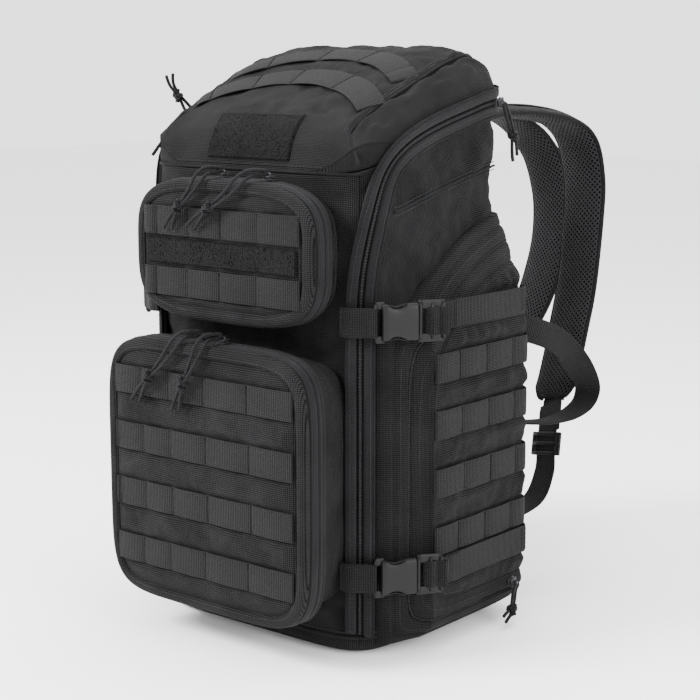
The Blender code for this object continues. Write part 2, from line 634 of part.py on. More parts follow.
def back_panel():
    """Two mesh pads behind the wall, a stiff sheet inside it and a haul handle above the pads."""
    wall_y = BAG_D / 2 + GAP
    pad_t = 0.012
    for hand, tag in ((1, "right"), (-1, "left")):
        x = hand * np.array([0.008, 0.014, 0.035, 0.055, 0.072, 0.084, 0.090])
        z = np.array([0.102, 0.108, 0.25, SEAM_Z - 0.008, SEAM_Z - 0.002])
        inside = np.zeros((7, 5))
        inside[1:-1, 1:-1] = 1

        def puffed(gx, gz, lift, inside=inside):
            body = np.where(lift > 0, 0.003 + (pad_t - 0.003) * inside, 0)
            return np.stack([gx, bag_back(gx) + DRAPE + body, gz], -1)

        plate("back_pad_" + tag, x, z, puffed, 1.0, MESH)

    def sheet(gx, gz, lift):
        return np.stack([gx, bag_back(gx) - WALL - 3 * DRAPE - lift, gz], -1)

    half = BAG_W * 0.32
    ends = np.array([BASE_INSET + WALL, SEAM_Z + 0.02])
    plate("frame_sheet", np.linspace(-half, half, 9), ends, sheet, CLOTH, BOARD)
    grip_z = RIM_BACK_Z - 0.0345
    grip = [(-0.034, wall_y + DRAPE + STRAP_T, grip_z - 0.0055), (-0.033, wall_y + 0.0176, grip_z - 0.002)]
    grip += [(-0.024, wall_y + 0.0276, grip_z - 0.0005), (0, wall_y + 0.0306, grip_z)]
    grip += [(-x, y, z) for x, y, z in grip[2::-1]]
    band("haul_handle", smooth_route(grip, 16), (0, 0, 1), 0.022, STRAP_T, WEBBING)


def bag_back(x):
    return -bag_front(x)


def build():
    for item in list(bpy.data.objects):
        bpy.data.objects.remove(item)
    bag()
    cap()
    cap_trim()
    lower, upper = front_pockets()
    main_zipper()
    for hand, tag in ((1, "right"), (-1, "left")):
        side_pocket(hand, tag)
        side_pulls(hand, tag)
        grab_handle(hand, tag)
        harness(tag)
    back_panel()
    pocket_pulls(lower, (("left", -0.014, -0.060, 0.058), ("right", 0.010, -0.034, 0.060)))
    pocket_pulls(upper, (("left", -0.012, -0.044, 0.046), ("right", 0.040, -0.070, 0.044)))
    hung = ((0.0015, 0.004, -0.010), (0.003, 0.006, -0.022), (0.003, 0.012, -0.036), (0.002, 0.016, -0.050))
    stood = ((0.003, -0.006, 0.008), (0.009, -0.014, 0.020), (0.012, -0.022, 0.033), (0.008, -0.030, 0.046))
    rim_pulls(1, "right", BAG_D / 2 - 0.032, hung)
    rim_pulls(-1, "left", -0.020, stood)


build()
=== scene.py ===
"""Trauma backpack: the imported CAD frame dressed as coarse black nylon, webbing, zippers and buckles."""

import math

import bpy
import numpy as np
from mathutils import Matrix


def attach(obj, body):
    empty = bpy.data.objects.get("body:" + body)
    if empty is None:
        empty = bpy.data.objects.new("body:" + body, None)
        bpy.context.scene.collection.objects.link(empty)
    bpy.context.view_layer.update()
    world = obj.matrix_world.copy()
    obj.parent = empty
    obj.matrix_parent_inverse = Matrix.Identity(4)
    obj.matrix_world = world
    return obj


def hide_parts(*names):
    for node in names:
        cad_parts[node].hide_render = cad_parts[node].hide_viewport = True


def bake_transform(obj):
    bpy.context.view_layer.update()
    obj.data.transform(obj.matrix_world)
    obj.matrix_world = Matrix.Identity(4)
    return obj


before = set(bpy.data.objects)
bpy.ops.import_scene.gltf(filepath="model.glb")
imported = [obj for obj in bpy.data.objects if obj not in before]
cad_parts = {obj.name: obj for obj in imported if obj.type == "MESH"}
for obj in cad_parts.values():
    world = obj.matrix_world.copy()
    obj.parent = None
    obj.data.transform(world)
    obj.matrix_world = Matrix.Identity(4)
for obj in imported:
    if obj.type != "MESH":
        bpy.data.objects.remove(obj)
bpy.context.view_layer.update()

# ---- Studio: a pale floor, a white surround and soft lights; the camera stands at the bag's right front ----
world = bpy.data.worlds.new("studio")
bpy.context.scene.world = world
world.use_nodes = True
world.node_tree.nodes["Background"].inputs["Color"].default_value = (1, 1, 1, 1)
world.node_tree.nodes["Background"].inputs["Strength"].default_value = 2.4

floor_mesh = bpy.data.meshes.new("floor")
floor_mesh.from_pydata([(-6, -6, -0.001), (6, -6, -0.001), (6, 6, -0.001), (-6, 6, -0.001)], [],
                       [(0, 1, 2, 3)])
floor = bpy.data.objects.new("floor", floor_mesh)
bpy.context.scene.collection.objects.link(floor)
floor_paint = bpy.data.materials.new("floor")
floor_paint.use_nodes = True
floor_paint.node_tree.nodes["Principled BSDF"].inputs["Base Color"].default_value = (0.93, 0.93, 0.93, 1)
floor_paint.node_tree.nodes["Principled BSDF"].inputs["Roughness"].default_value = 0.9
floor_mesh.materials.append(floor_paint)

camera = bpy.data.objects.new("camera", bpy.data.cameras.new("camera"))
bpy.context.scene.collection.objects.link(camera)
camera.location = (0.9757, -1.1584, 0.514)
camera.rotation_euler = (math.radians(79.8033), 0, math.radians(39.3207))
camera.data.lens, camera.data.sensor_width = 85.7, 36
bpy.context.scene.camera = camera


def softbox(name, place, aim, size, power):
    """A square area light at a place, turned to face a point."""
    lamp = bpy.data.lights.new(name, "AREA")
    lamp.shape, lamp.size, lamp.energy = "SQUARE", size, power
    made = bpy.data.objects.new(name, lamp)
    bpy.context.scene.collection.objects.link(made)
    made.location = place
    away = np.subtract(place, aim)
    made.rotation_euler = (math.atan2(math.hypot(away[0], away[1]), away[2]), 0,
                           math.atan2(away[1], away[0]) + math.pi / 2)
    return made


softbox("key", (-0.9, -1.5, 1.5), (0, 0, 0.25), 0.7, 120)
softbox("fill", (1.9, -0.3, 0.9), (0, 0, 0.25), 0.8, 34)
softbox("top", (0.1, 0.3, 1.9), (0, 0, 0.3), 1.0, 34)

# ---- Main bag: a tall box of coarse black nylon, tapered at its foot, open along its sloping rim.
# It is one closed wall, outside and inside, with soft folds pressed inwards so that trim stays on top.
BAG_W, BAG_D, SEAM_Z, RIM_BACK_Z, TOP_Z = 0.260, 0.216, 0.412, 0.472, 0.520
WALL, BASE_INSET, GAP, POWER = 0.003, 0.012, 0.0004, 6.0
BLACK = (0.0047, 0.0047, 0.0050)
THREAD = 0.0017


def unit(vectors):
    """Vectors scaled to length one."""
    return vectors / np.maximum(np.linalg.norm(vectors, axis=-1, keepdims=True), 1e-9)


def outline(half_w, half_d, count, power=POWER):
    """Evenly spaced closed outline where the shares of both half sizes, each to a power, add up to one."""
    t = np.linspace(-np.pi, np.pi, 6001) + 0.75 * np.pi
    x = half_w * np.sign(np.cos(t)) * np.abs(np.cos(t)) ** (2 / power)
    y = half_d * np.sign(np.sin(t)) * np.abs(np.sin(t)) ** (2 / power)
    run = np.concatenate([[0], np.cumsum(np.hypot(np.diff(x), np.diff(y)))])
    at = np.linspace(0, run[-1], count)
    return np.stack([np.interp(at, run, x), np.interp(at, run, y)], 1)


def ramp(share, table, blur=0):
    """A value read from a table of (share, value), with straight lines between, or blurred to a curve."""
    at, value = np.array(table, float).T
    reach = np.clip(share / 0.09, 0, 1)
    near = [np.interp(share + off * reach, at, value) for off in (-0.03, -0.015, 0, 0.015, 0.03)]
    return np.interp(share, at, value) if blur == 0 else sum(near) / 5


def rim_z(y):
    """Height of the zipped rim: low at the front seam and high at the back."""
    rise = ((0, 0), (0.2, 0.27), (0.3, 0.48), (0.5, 0.68), (0.78, 0.90), (1, 1))
    return SEAM_Z + (RIM_BACK_Z - SEAM_Z) * ramp(y / BAG_D + 0.5, rise)


def bag_front(x):
    """The bag's front surface in y at a given x."""
    return -BAG_D / 2 * (1 - np.minimum(np.abs(2 * x / BAG_W), 1) ** POWER) ** (1 / POWER)


def bag_side(y):
    """The bag's side surface in x at a given y."""
    return BAG_W / 2 * (1 - np.minimum(np.abs(2 * y / BAG_D), 1) ** POWER) ** (1 / POWER)


def folds(u, v, seed, size, sharp=2.2):
    """Soft cloth folds from 0 to 1: bent sine waves in chance directions, added, through an S curve."""
    chance = np.random.default_rng(seed)
    total = np.zeros(np.broadcast(u, v).shape)
    for _ in range(7):
        turn, phase, bend = chance.uniform(0, 2 * np.pi, 3)
        wave = size * chance.uniform(0.6, 1.7)
        along = u * np.cos(turn) + v * np.sin(turn)
        across = v * np.cos(turn) - u * np.sin(turn)
        total += np.sin(2 * np.pi * along / wave + phase +
                        1.6 * np.sin(2 * np.pi * across / (2.4 * wave) + bend))
    return 1 / (1 + np.exp(-sharp * total / 2.65))


def spread(points):
    """Flat coordinates of a grid in metres: mean run along its rows, and along its columns."""
    down = np.linalg.norm(np.diff(points, axis=0), axis=2).mean(1)
    over = np.linalg.norm(np.diff(points, axis=1), axis=2).mean(0)
    u = np.concatenate([[0], np.cumsum(over)])
    v = np.concatenate([[0], np.cumsum(down)])
    return np.stack(np.meshgrid(u, v), -1)


def surface(name, patches, paint, body, nodes=(), flat=spread):
    """One smooth mesh of point grids riding on a body, with UVs in metres from its run or a projection."""
    corners, faces, flats, first = [], [], [], 0
    for points in patches:
        rows, cols = points.shape[:2]
        at = first + np.arange(rows * cols).reshape(rows, cols)
        quads = np.stack([at[:-1, :-1], at[:-1, 1:], at[1:, 1:], at[1:, :-1]], -1).reshape(-1, 4)
        corners.append(points.reshape(-1, 3))
        flats.append(flat(points).reshape(-1, 2))
        faces.append(quads)
        first += rows * cols
    corners, faces, flats = np.concatenate(corners), np.concatenate(faces), np.concatenate(flats)
    mesh = bpy.data.meshes.new(name)
    mesh.vertices.add(len(corners))
    mesh.vertices.foreach_set("co", corners.astype(np.float32).ravel())
    mesh.loops.add(faces.size)
    mesh.loops.foreach_set("vertex_index", faces.astype(np.int32).ravel())
    mesh.polygons.add(len(faces))
    mesh.polygons.foreach_set("loop_start", np.arange(0, faces.size, 4, dtype=np.int32))
    mesh.polygons.foreach_set("use_smooth", np.ones(len(faces), bool))
    mesh.update(calc_edges=True)
    layer = mesh.uv_layers.new(name="flat")
    layer.uv.foreach_set("vector", flats[faces.ravel()].astype(np.float32).ravel())
    mesh.materials.append(paint)
    made = bpy.data.objects.new(name, mesh)
    bpy.context.scene.collection.objects.link(made)
    if body:
        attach(made, body)
    if nodes:
        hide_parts(*nodes)
    return made


def sum_node(tree, kind, *values):
    """A Math node over sockets or numbers, and its output."""
    node = tree.nodes.new("ShaderNodeMath")
    node.operation = kind
    for socket, value in zip(node.inputs, values):
        if isinstance(value, bpy.types.NodeSocket):
            tree.links.new(value, socket)
        else:
            socket.default_value = value
    return node.outputs[0]


def new_weave(name):
    """An empty node group from place and thread size to a height: its tree, inputs and outputs."""
    tree = bpy.data.node_groups.new(name, "ShaderNodeTree")
    tree.interface.new_socket("Place", in_out="INPUT", socket_type="NodeSocketVector")
    tree.interface.new_socket("Thread", in_out="INPUT", socket_type="NodeSocketFloat")
    tree.interface.new_socket("Height", in_out="OUTPUT", socket_type="NodeSocketFloat")
    return tree, tree.nodes.new("NodeGroupInput").outputs, tree.nodes.new("NodeGroupOutput").inputs


def waves(tree, place, axis, size):
    """The size of a sine wave along one axis, from 0 to 1, with humps of this width."""
    split = tree.nodes.new("ShaderNodeSeparateXYZ")
    tree.links.new(place, split.inputs[0])
    along = sum_node(tree, "DIVIDE", split.outputs[axis], size)
    return along, sum_node(tree, "ABSOLUTE", sum_node(tree, "SINE",
                                                      sum_node(tree, "MULTIPLY", along, math.pi)))


def plain_weave():
    """Over-and-under cloth: square cells where the crossing thread takes turns on top."""
    tree, given, out = new_weave("plain_weave")
    u, hump_u = waves(tree, given[0], 0, given[1])
    v, hump_v = waves(tree, given[0], 1, given[1])
    cells = sum_node(tree, "ADD", sum_node(tree, "FLOOR", u), sum_node(tree, "FLOOR", v))
    turn = sum_node(tree, "ABSOLUTE", sum_node(tree, "MODULO", cells, 2.0))
    soft_u, soft_v = sum_node(tree, "POWER", hump_u, 0.35), sum_node(tree, "POWER", hump_v, 0.35)
    warp = sum_node(tree, "MULTIPLY", hump_u, soft_v)
    weft = sum_node(tree, "MULTIPLY", hump_v, soft_u)
    more = sum_node(tree, "MULTIPLY", turn, sum_node(tree, "SUBTRACT", weft, warp))
    tree.links.new(sum_node(tree, "ADD", warp, more), out[0])
    return tree


def ribbed_weave():
    """Strap webbing: ribs along the strap crossed by wider ribs, as a fine grid."""
    tree, given, out = new_weave("ribbed_weave")
    _, hump_u = waves(tree, given[0], 0, given[1])
    _, hump_v = waves(tree, given[0], 1, sum_node(tree, "MULTIPLY", given[1], 1.5))
    tree.links.new(sum_node(tree, "MULTIPLY", sum_node(tree, "ADD", hump_u, hump_v), 0.5), out[0])
    return tree


def noise(tree, place, scale, detail=2):
    """Noise over a place, from 0 to 1."""
    node = tree.nodes.new("ShaderNodeTexNoise")
    node.inputs["Scale"].default_value, node.inputs["Detail"].default_value = scale, detail
    tree.links.new(place, node.inputs["Vector"])
    return node.outputs[0]


def remap(tree, value, given, wanted=(0, 1)):
    """A value carried from one span to another and held at its ends."""
    node = tree.nodes.new("ShaderNodeMapRange")
    for label, number in zip(("From Min", "From Max", "To Min", "To Max"), (*given, *wanted)):
        node.inputs[label].default_value = number
    tree.links.new(value, node.inputs["Value"])
    return node.outputs["Result"]


def paint_between(tree, share, first, last):
    """Base colour mixed between two, and the shader that takes it."""
    shader = tree.nodes["Principled BSDF"]
    mix = tree.nodes.new("ShaderNodeMix")
    mix.data_type = "RGBA"
    mix.inputs["A"].default_value, mix.inputs["B"].default_value = (*first, 1), (*last, 1)
    tree.links.new(share, mix.inputs["Factor"])
    tree.links.new(mix.outputs["Result"], shader.inputs["Base Color"])
    return shader


def raise_surface(tree, shader, height, strength, distance):
    """Bump from a height, into the shader's normal."""
    relief = tree.nodes.new("ShaderNodeBump")
    relief.inputs["Strength"].default_value, relief.inputs["Distance"].default_value = strength, distance
    tree.links.new(height, relief.inputs["Height"])
    tree.links.new(relief.outputs[0], shader.inputs["Normal"])


def cloth_paint(name, weave, colour, thread, bump, rough, sheen=0.01, patchy=0.35):
    """Woven cloth: thread relief with painted light and shade in its colour (thread tops painted lighter,
    gaps between threads painted darker), broad wear and dust, and a soft sheen.
    """
    made = bpy.data.materials.new(name)
    made.use_nodes = True
    tree = made.node_tree
    flat, threads = tree.nodes.new("ShaderNodeUVMap"), tree.nodes.new("ShaderNodeGroup")
    flat.uv_map = "flat"
    threads.node_tree = weave
    threads.inputs["Thread"].default_value = thread
    tree.links.new(flat.outputs[0], threads.inputs["Place"])
    place = tree.nodes.new("ShaderNodeTexCoord").outputs["Object"]
    broad, fine = noise(tree, place, 28, 5), noise(tree, place, 900)
    height = threads.outputs["Height"]
    # Painted light and shade: the thread height lightens the colour on the threads' tops and darkens it in
    # the gaps between them; the fine and broad noise add tone that differs at random.
    light = sum_node(tree, "MULTIPLY", height, 1.1)
    light = sum_node(tree, "ADD", light, sum_node(tree, "MULTIPLY", fine, 0.4))
    light = sum_node(tree, "ADD", light, sum_node(tree, "MULTIPLY", broad, patchy * 2))
    shade = remap(tree, light, (0.60, 1.35 + patchy))
    shader = paint_between(tree, shade, [c * 0.10 for c in colour], [c * 3.1 for c in colour])
    tree.links.new(remap(tree, broad, (0, 1), (rough - 0.1, rough + 0.1)), shader.inputs["Roughness"])
    tree.links.new(remap(tree, shade, (0, 1), (0.01, 0.14)), shader.inputs["Specular IOR Level"])
    uneven = sum_node(tree, "ADD", height, sum_node(tree, "MULTIPLY", fine, 0.6))
    raise_surface(tree, shader, uneven, 1.0, bump * 1.6)
    shader.inputs["Sheen Weight"].default_value = sheen
    shader.inputs["Sheen Roughness"].default_value = 0.45
    return made


WEAVE, RIBS = plain_weave(), ribbed_weave()
nylon = cloth_paint("coarse_nylon", WEAVE, BLACK, THREAD, 0.0005, 0.78)


def bag_wall():
    """Grid of the bag's wall from under its foot up the outside, over the rim and down the inside."""
    ring = outline(BAG_W / 2, BAG_D / 2, 521)
    x, y = ring.T
    rise = np.linspace(0, 1, 120)
    top = rim_z(y)[None, :]
    z = BASE_INSET + (top - BASE_INSET) * rise[:, None]
    run = np.linspace(0, 2 * (BAG_W + BAG_D), len(x))[None, :]
    calm = np.clip((top - z) / 0.02, 0, 1) * np.clip((z - 0.004) / 0.03, 0, 1)
    press = calm * (0.0042 * folds(run, z * 1.3, 3, 0.075, 3) + 0.0016 * folds(run, z * 1.6, 4, 0.03))
    low_corner = np.exp(-(((z - 0.03) / 0.03) ** 2)) * np.clip(np.abs(x) / 0.13 - 0.5, 0, 1)[None, :]
    press += 0.0022 * low_corner * folds(run * 2.5, z, 9, 0.03, 3)
    inward = -unit(np.stack([np.sign(x) * np.abs(x * 2 / BAG_W) ** (POWER - 1) / BAG_W,
                             np.sign(y) * np.abs(y * 2 / BAG_D) ** (POWER - 1) / BAG_D], -1))
    plan = ring[None] + inward[None] * press[..., None]
    outside = np.concatenate([plan, z[..., None] + 0 * plan[..., :1]], -1)
    foot = []
    for share in (0.0, 0.5, 0.9, 0.97, 1.0):
        inset = BASE_INSET * 0.9
        shrunk = ring * (1 - np.array([inset / BAG_W, inset / BAG_D]) * 2) * share
        foot.append(np.column_stack([shrunk, np.full(len(x), 0.0002)]))
    for share in (0.2, 0.45, 0.75):
        inset = BASE_INSET * 0.9 * (1 - share) ** 2
        shrunk = ring * (1 - np.array([inset / BAG_W, inset / BAG_D]) * 2)
        foot.append(np.column_stack([shrunk, np.full(len(x), BASE_INSET * share)]))
    inside = []
    for share in np.linspace(1, 0, 25):
        inset = WALL + 0.0045 * min(1, 12 * (1 - share))
        inner_x, inner_y = (ring * (1 - np.array([inset / BAG_W, inset / BAG_D]) * 2)).T
        inside.append(np.column_stack([inner_x, inner_y, BASE_INSET + (rim_z(y) - BASE_INSET) * share]))
    inside.append(np.column_stack([inner_x * 0.93, inner_y * 0.93, np.full(len(x), WALL + 0.001)]))
    inside.append(np.column_stack([inner_x * 0, inner_y * 0, np.full(len(x), WALL + 0.001)]))
    return np.concatenate([np.array(foot), outside, np.array(inside)])


surface("bag_wall", [bag_wall()], nylon, "pack", ["main_bag"])

# ---- Cap: the domed lid that turns about the front seam. Its top is a padded centre panel between two
# side gussets, joined by a raised seam each side; the lid is a shell, so its lining shows when open.
RIM_GAP, DRAPE = 0.0012, 0.0010
RIDGE = ((0, 0), (0.04, 0.26), (0.09, 0.40), (0.17, 0.51), (0.28, 0.62), (0.5, 0.83), (0.64, 0.93), (0.8, 1),
         (0.92, 0.98), (1, 0.9))
PANEL = ((-0.108, 0.128), (-0.098, 0.110), (-0.092, 0.101), (-0.05, 0.1055), (0.0, 0.109), (0.05, 0.107),
         (0.1, 0.100))


def cap_z(x, y):
    """Outer height of the cap over a plan point: the ridge falls to the rim as the sixth-power edge nears."""
    ridge = SEAM_Z + (TOP_Z - SEAM_Z) * ramp(y / BAG_D + 0.5, RIDGE, 1)
    reach = np.abs(2 * x / BAG_W) ** POWER + (np.maximum(y, 0) * 2 / BAG_D) ** POWER
    return rim_z(y) + (ridge - rim_z(y)) * np.maximum(1 - reach, 0) ** 0.5 + RIM_GAP


def cap_lift(x, y):
    """Cap surface offset in metres: puffed panels, shallow folds, and a sunk line at each panel seam."""
    side = np.abs(x) - ramp(y, PANEL)
    seam = np.exp(-((side / 0.0016) ** 2)) * np.clip((y + 0.106) / 0.01, 0, 1)
    roll = np.exp(-(((side + 0.0040) / 0.0026) ** 2)) * 0.0020
    tuck = np.abs(y + 0.066 + 2.6 * x**2) / 0.0030
    front = np.clip((y + 0.108) / 0.03, 0, 1)
    lines = 0.0024 * folds(x, y * 1.4, 21, 0.050, 3) + 0.0008 * folds(x * 1.3, y, 22, 0.02)
    side_folds = np.clip(side / 0.006, 0, 1) * 0.0034 * folds(x * 2.4, y, 25, 0.035, 3)
    crease = 0.0012 * np.exp(-(tuck**2)) * np.clip((x - 0.0) / 0.03, 0, 1)
    return front * (roll + lines + side_folds - crease - 0.0034) - 0.0026 * seam


def cap_shell():
    """Grid over the cap from its middle to the rim, then back underneath."""
    ring = outline(BAG_W / 2, BAG_D / 2, 441)
    shares = np.concatenate([np.linspace(0.0, 0.9, 86), np.linspace(0.9, 1, 27)[1:]])
    plan = ring[None] * shares[:, None, None]
    x, y = plan[..., 0], plan[..., 1]
    fade = np.clip((1 - shares) / 0.05, 0, 1)[:, None]
    high = np.maximum(cap_z(x, y) + cap_lift(x, y) * fade, rim_z(y) + RIM_GAP)
    drop = np.linspace(0, 1, 7)[:, None]
    high = np.concatenate([high, high[-1:] * (1 - drop) + (rim_z(y[-1:]) + RIM_GAP) * drop])
    outer = np.concatenate([np.concatenate([plan, np.repeat(plan[-1:], 7, 0)]), high[..., None]], -1)
    under = plan * (1 - np.array([WALL / BAG_W, WALL / BAG_D]) * 2)
    low = np.maximum(cap_z(x, y) - WALL * 2, rim_z(y) + RIM_GAP)
    low[-1] = rim_z(y[-1]) + RIM_GAP
    inner = np.concatenate([under, low[..., None]], -1)[::-4]
    return np.concatenate([outer, inner])


def over_ridge(points):
    """Flat coordinates over the lid: across plus the drop from its ridge, and forward plus the ridge."""
    x, y, z = np.moveaxis(points, -1, 0)
    top = cap_z(0 * y, y)
    return np.stack([x + np.sign(x) * (top - z), y + top], -1)


surface("cap_shell", [cap_shell()], nylon, "cap", ["cap_lid"], over_ridge)


def on_cap(x, y, lift):
    """A point standing off the cap's smooth surface along its normal."""
    step = 0.002
    z = cap_z(x, y)
    slope_x = (cap_z(x + step, y) - cap_z(x - step, y)) / (2 * step)
    slope_y = (cap_z(x, y + step) - cap_z(x, y - step)) / (2 * step)
    normal = unit(np.stack([-slope_x, -slope_y, np.ones_like(z)], -1))
    return np.stack([x, y, z], -1) + normal * np.asarray(lift)[..., None]


def tube_profile(radius, count=10, flat=1.0):
    """Closed circle as (across, through) pairs; flat squashes it."""
    t = np.linspace(0, 2 * np.pi, count + 1)
    return np.stack([radius * np.cos(t), radius * flat * np.sin(t)], 1)


def strap_profile(width, thick):
    """Closed webbing section: flat faces and rounded edges."""
    t = np.linspace(0, 2 * np.pi, 33)
    across = np.sign(np.cos(t)) * np.abs(np.cos(t)) ** 0.22 * width / 2
    return np.stack([across, np.sin(t) * thick / 2 * (1 - 0.12 * np.cos(t * 6))], 1)


def sweep(route, across, profile, grow=None):
    """A closed section carried along a route with its width along the across direction; ends pinched shut."""
    route = np.asarray(route, float)
    along = unit(np.gradient(route, axis=0))
    across = np.broadcast_to(np.asarray(across, float), route.shape)
    across = unit(across - along * (across * along).sum(1, keepdims=True))
    through = np.cross(across, along)
    grow = np.ones(len(route)) if grow is None else grow
    section = profile[None] * grow[:, None, None]
    rings = route[:, None] + section[..., :1] * across[:, None] + section[..., 1:] * through[:, None]
    ends = [np.broadcast_to(ring.mean(0), ring.shape)[None] for ring in (rings[0], rings[-1])]
    return np.concatenate([ends[0], rings, ends[1]])


def along_route(route, step):
    """The same line with points this far apart."""
    route = np.asarray(route, float)
    run = np.concatenate([[0], np.cumsum(np.linalg.norm(np.diff(route, axis=0), axis=1))])
    at = np.linspace(0, run[-1], max(3, int(run[-1] / step) + 1))
    return np.stack([np.interp(at, run, route[:, k]) for k in range(3)], 1)


def curve_through(points, step=0.002):
    """Smooth line through given points (Catmull-Rom), with points this far apart."""
    p = np.asarray(points, float)
    p = np.vstack([2 * p[0] - p[1], p, 2 * p[-1] - p[-2]])
    t = np.linspace(0, 1, 24, endpoint=False)[:, None]
    parts = []
    for a, b, c, d in zip(p[:-3], p[1:-2], p[2:-1], p[3:]):
        bend = (2 * a - 5 * b + 4 * c - d) * t**2
        parts.append(b + 0.5 * ((c - a) * t + bend + (3 * b - a - 3 * c + d) * t**3))
    return along_route(np.vstack(parts + [p[-2][None]]), step)


def stitch_line(route, across, pitch=0.0042, radius=0.00044):
    """Sewing thread as a row of dashes: a thin tube that shrinks to nothing between stitches."""
    fine = along_route(route, pitch / 6)
    at = np.arange(len(fine)) * pitch / 6
    swell = np.clip(2.2 * np.abs(np.sin(np.pi * at / pitch)), 0.05, 1)
    return sweep(fine, across, tube_profile(radius, 4), swell)


thread = cloth_paint("sewing_thread", WEAVE, (0.0105, 0.0105, 0.0115), 0.0005, 0.0001, 0.6)
# Near-black paint, darker than the cloth: painted shade in the sunk bar tacks and in the main zipper's slot;
# the loop patch's stitches also take it.
dark_thread_and_painted_shade = cloth_paint("dark_thread_and_painted_shade", WEAVE, (0.0012, 0.0012, 0.0013), 0.0005, 0.0001, 0.8)
binding = cloth_paint("edge_binding", WEAVE, (0.0050, 0.0050, 0.0055), 0.0007, 0.0003, 0.72)

panel_seams = []
for hand in (1, -1):
    y = np.linspace(-0.097, 0.100, 120)
    for off in (-0.0034, -0.0066):
        x = hand * (ramp(y, PANEL) + off)
        panel_seams.append(stitch_line(on_cap(x, y, np.full(120, -0.0010)), (1, 0, 0)))
x = np.linspace(-0.112, 0.112, 160)
panel_seams.append(stitch_line(np.stack([x, bag_front(x) + 0.0006, np.full(160, SEAM_Z + 0.0065)], 1),
                               (0, 0, 1)))
surface("cap_stitches", panel_seams, thread, "cap")
y = np.linspace(-0.104, 0.100, 160)
piping = [sweep(on_cap(hand * (ramp(y, PANEL) - 0.0006), y, np.full(160, -0.0022)), (1, 0, 0),
                tube_profile(0.0015, 8)) for hand in (1, -1)]
surface("cap_panel_piping", piping, binding, "cap")

# Raised cord of binding along the front seam, where the lid is sewn to the bag's front
x = np.linspace(-0.118, 0.118, 200)
seam_line = np.stack([x, bag_front(x) - 0.0002, np.full(200, SEAM_Z + 0.0018)], 1)
surface("cap_front_seam", [sweep(seam_line, (0, 0, 1), tube_profile(0.0012, 8, 0.7))], binding, "cap")

# ---- Cap trim: two rows of webbing across the lid, and the loop patch on its front.
# The rows are sewn down every 38 mm, so they bulge a little between the stitch columns.
WEB, BULGE = 0.025, 0.0020
webbing = cloth_paint("webbing", RIBS, (0.0033, 0.0033, 0.0036), 0.0013, 0.0009, 0.68, 0.03, 0.2)


def loop_pile():
    """Loop pile: soft tufts from cell noise at one fine size, with dark gaps between."""
    tree, given, out = new_weave("loop_pile")
    tufts = tree.nodes.new("ShaderNodeTexVoronoi")
    tree.links.new(given[0], tufts.inputs["Vector"])
    tree.links.new(sum_node(tree, "DIVIDE", 1.0, given[1]), tufts.inputs["Scale"])
    tree.links.new(sum_node(tree, "SUBTRACT", 1.0, tufts.outputs["Distance"]), out[0])
    return tree


fuzz = cloth_paint("loop_fuzz", loop_pile(), (0.0022, 0.0022, 0.0024), 0.0012, 0.0012, 0.95, 0.02, 0.4)


def webbing_row(ends, tacks, place, width=WEB, bulge=BULGE, thick=0.0014):
    """Webbing between two ends, lifted between its stitch columns; place(run, across, lift) sites it."""
    run = np.linspace(*ends, int(abs(ends[1] - ends[0]) / 0.0012) + 2)
    tacks = np.sort(np.concatenate([np.atleast_1d(tacks), ends]))
    share = np.interp(run, tacks, np.arange(len(tacks)))
    lift = bulge * np.abs(np.sin(np.pi * share)) ** 0.6
    profile = strap_profile(width, thick)
    grid_run = run[:, None] + 0 * profile[None, :, 0]
    body = place(grid_run, profile[None, :, 0] + 0 * grid_run,
                 lift[:, None] + thick / 2 + profile[None, :, 1])
    caps = [np.broadcast_to(ring.mean(0), ring.shape)[None] for ring in (body[0], body[-1])]
    return np.concatenate([caps[0], body, caps[1]])


def tack_marks(at, place, width=WEB, lift=0.0012):
    """The close zigzag of bar stitching across a strip, one thin ridge at each place."""
    v = np.linspace(-0.46, 0.46, 60) * width
    marks = []
    for run in np.atleast_1d(at):
        sway = 0.0004 * np.sin(np.arange(60) * np.pi * 0.9)
        line = place(run + sway, v, np.full(60, lift))
        marks.append(sweep(line, line[1] - line[0] + (1e-6, 0, 0), tube_profile(0.00075, 5)))
    return marks


cap_rows, cap_tacks = [], []
for y_mid, tacks in ((-0.0255, (-0.090, -0.052, -0.012, 0.046)), (0.0200, (-0.069, -0.017, 0.035, 0.086))):
    def over_cap(run, across, lift, y_mid=y_mid):
        slope = 7.2 * run
        turned = across / np.sqrt(1 + slope**2)
        return on_cap(run + turned * slope, y_mid - 3.6 * run**2 + turned, lift - 0.0012)

    cap_rows.append(webbing_row((-0.101, 0.101), tacks, over_cap, bulge=0.0012))
    cap_tacks += tack_marks(tacks, over_cap)
surface("cap_rows", cap_rows, webbing, "cap", ["cap_webbing"])
# The tack ridges are painted near-black: painted shade of the sunk bar stitching.
surface("cap_tacks", cap_tacks, dark_thread_and_painted_shade, "cap")

fine_y = np.linspace(-0.5, 0.1, 400) * BAG_D


def before_cap(x, z, lift):
    """A point standing forward of the cap's steep front."""
    pairs = zip(np.ravel(x + 0 * z), np.ravel(z + 0 * x))
    y = np.reshape([np.interp(height, cap_z(0 * fine_y + across, fine_y), fine_y)
                    for across, height in pairs], np.shape(x + 0 * z))
    return np.stack([x + 0 * z, y - lift, z + 0 * x], -1)


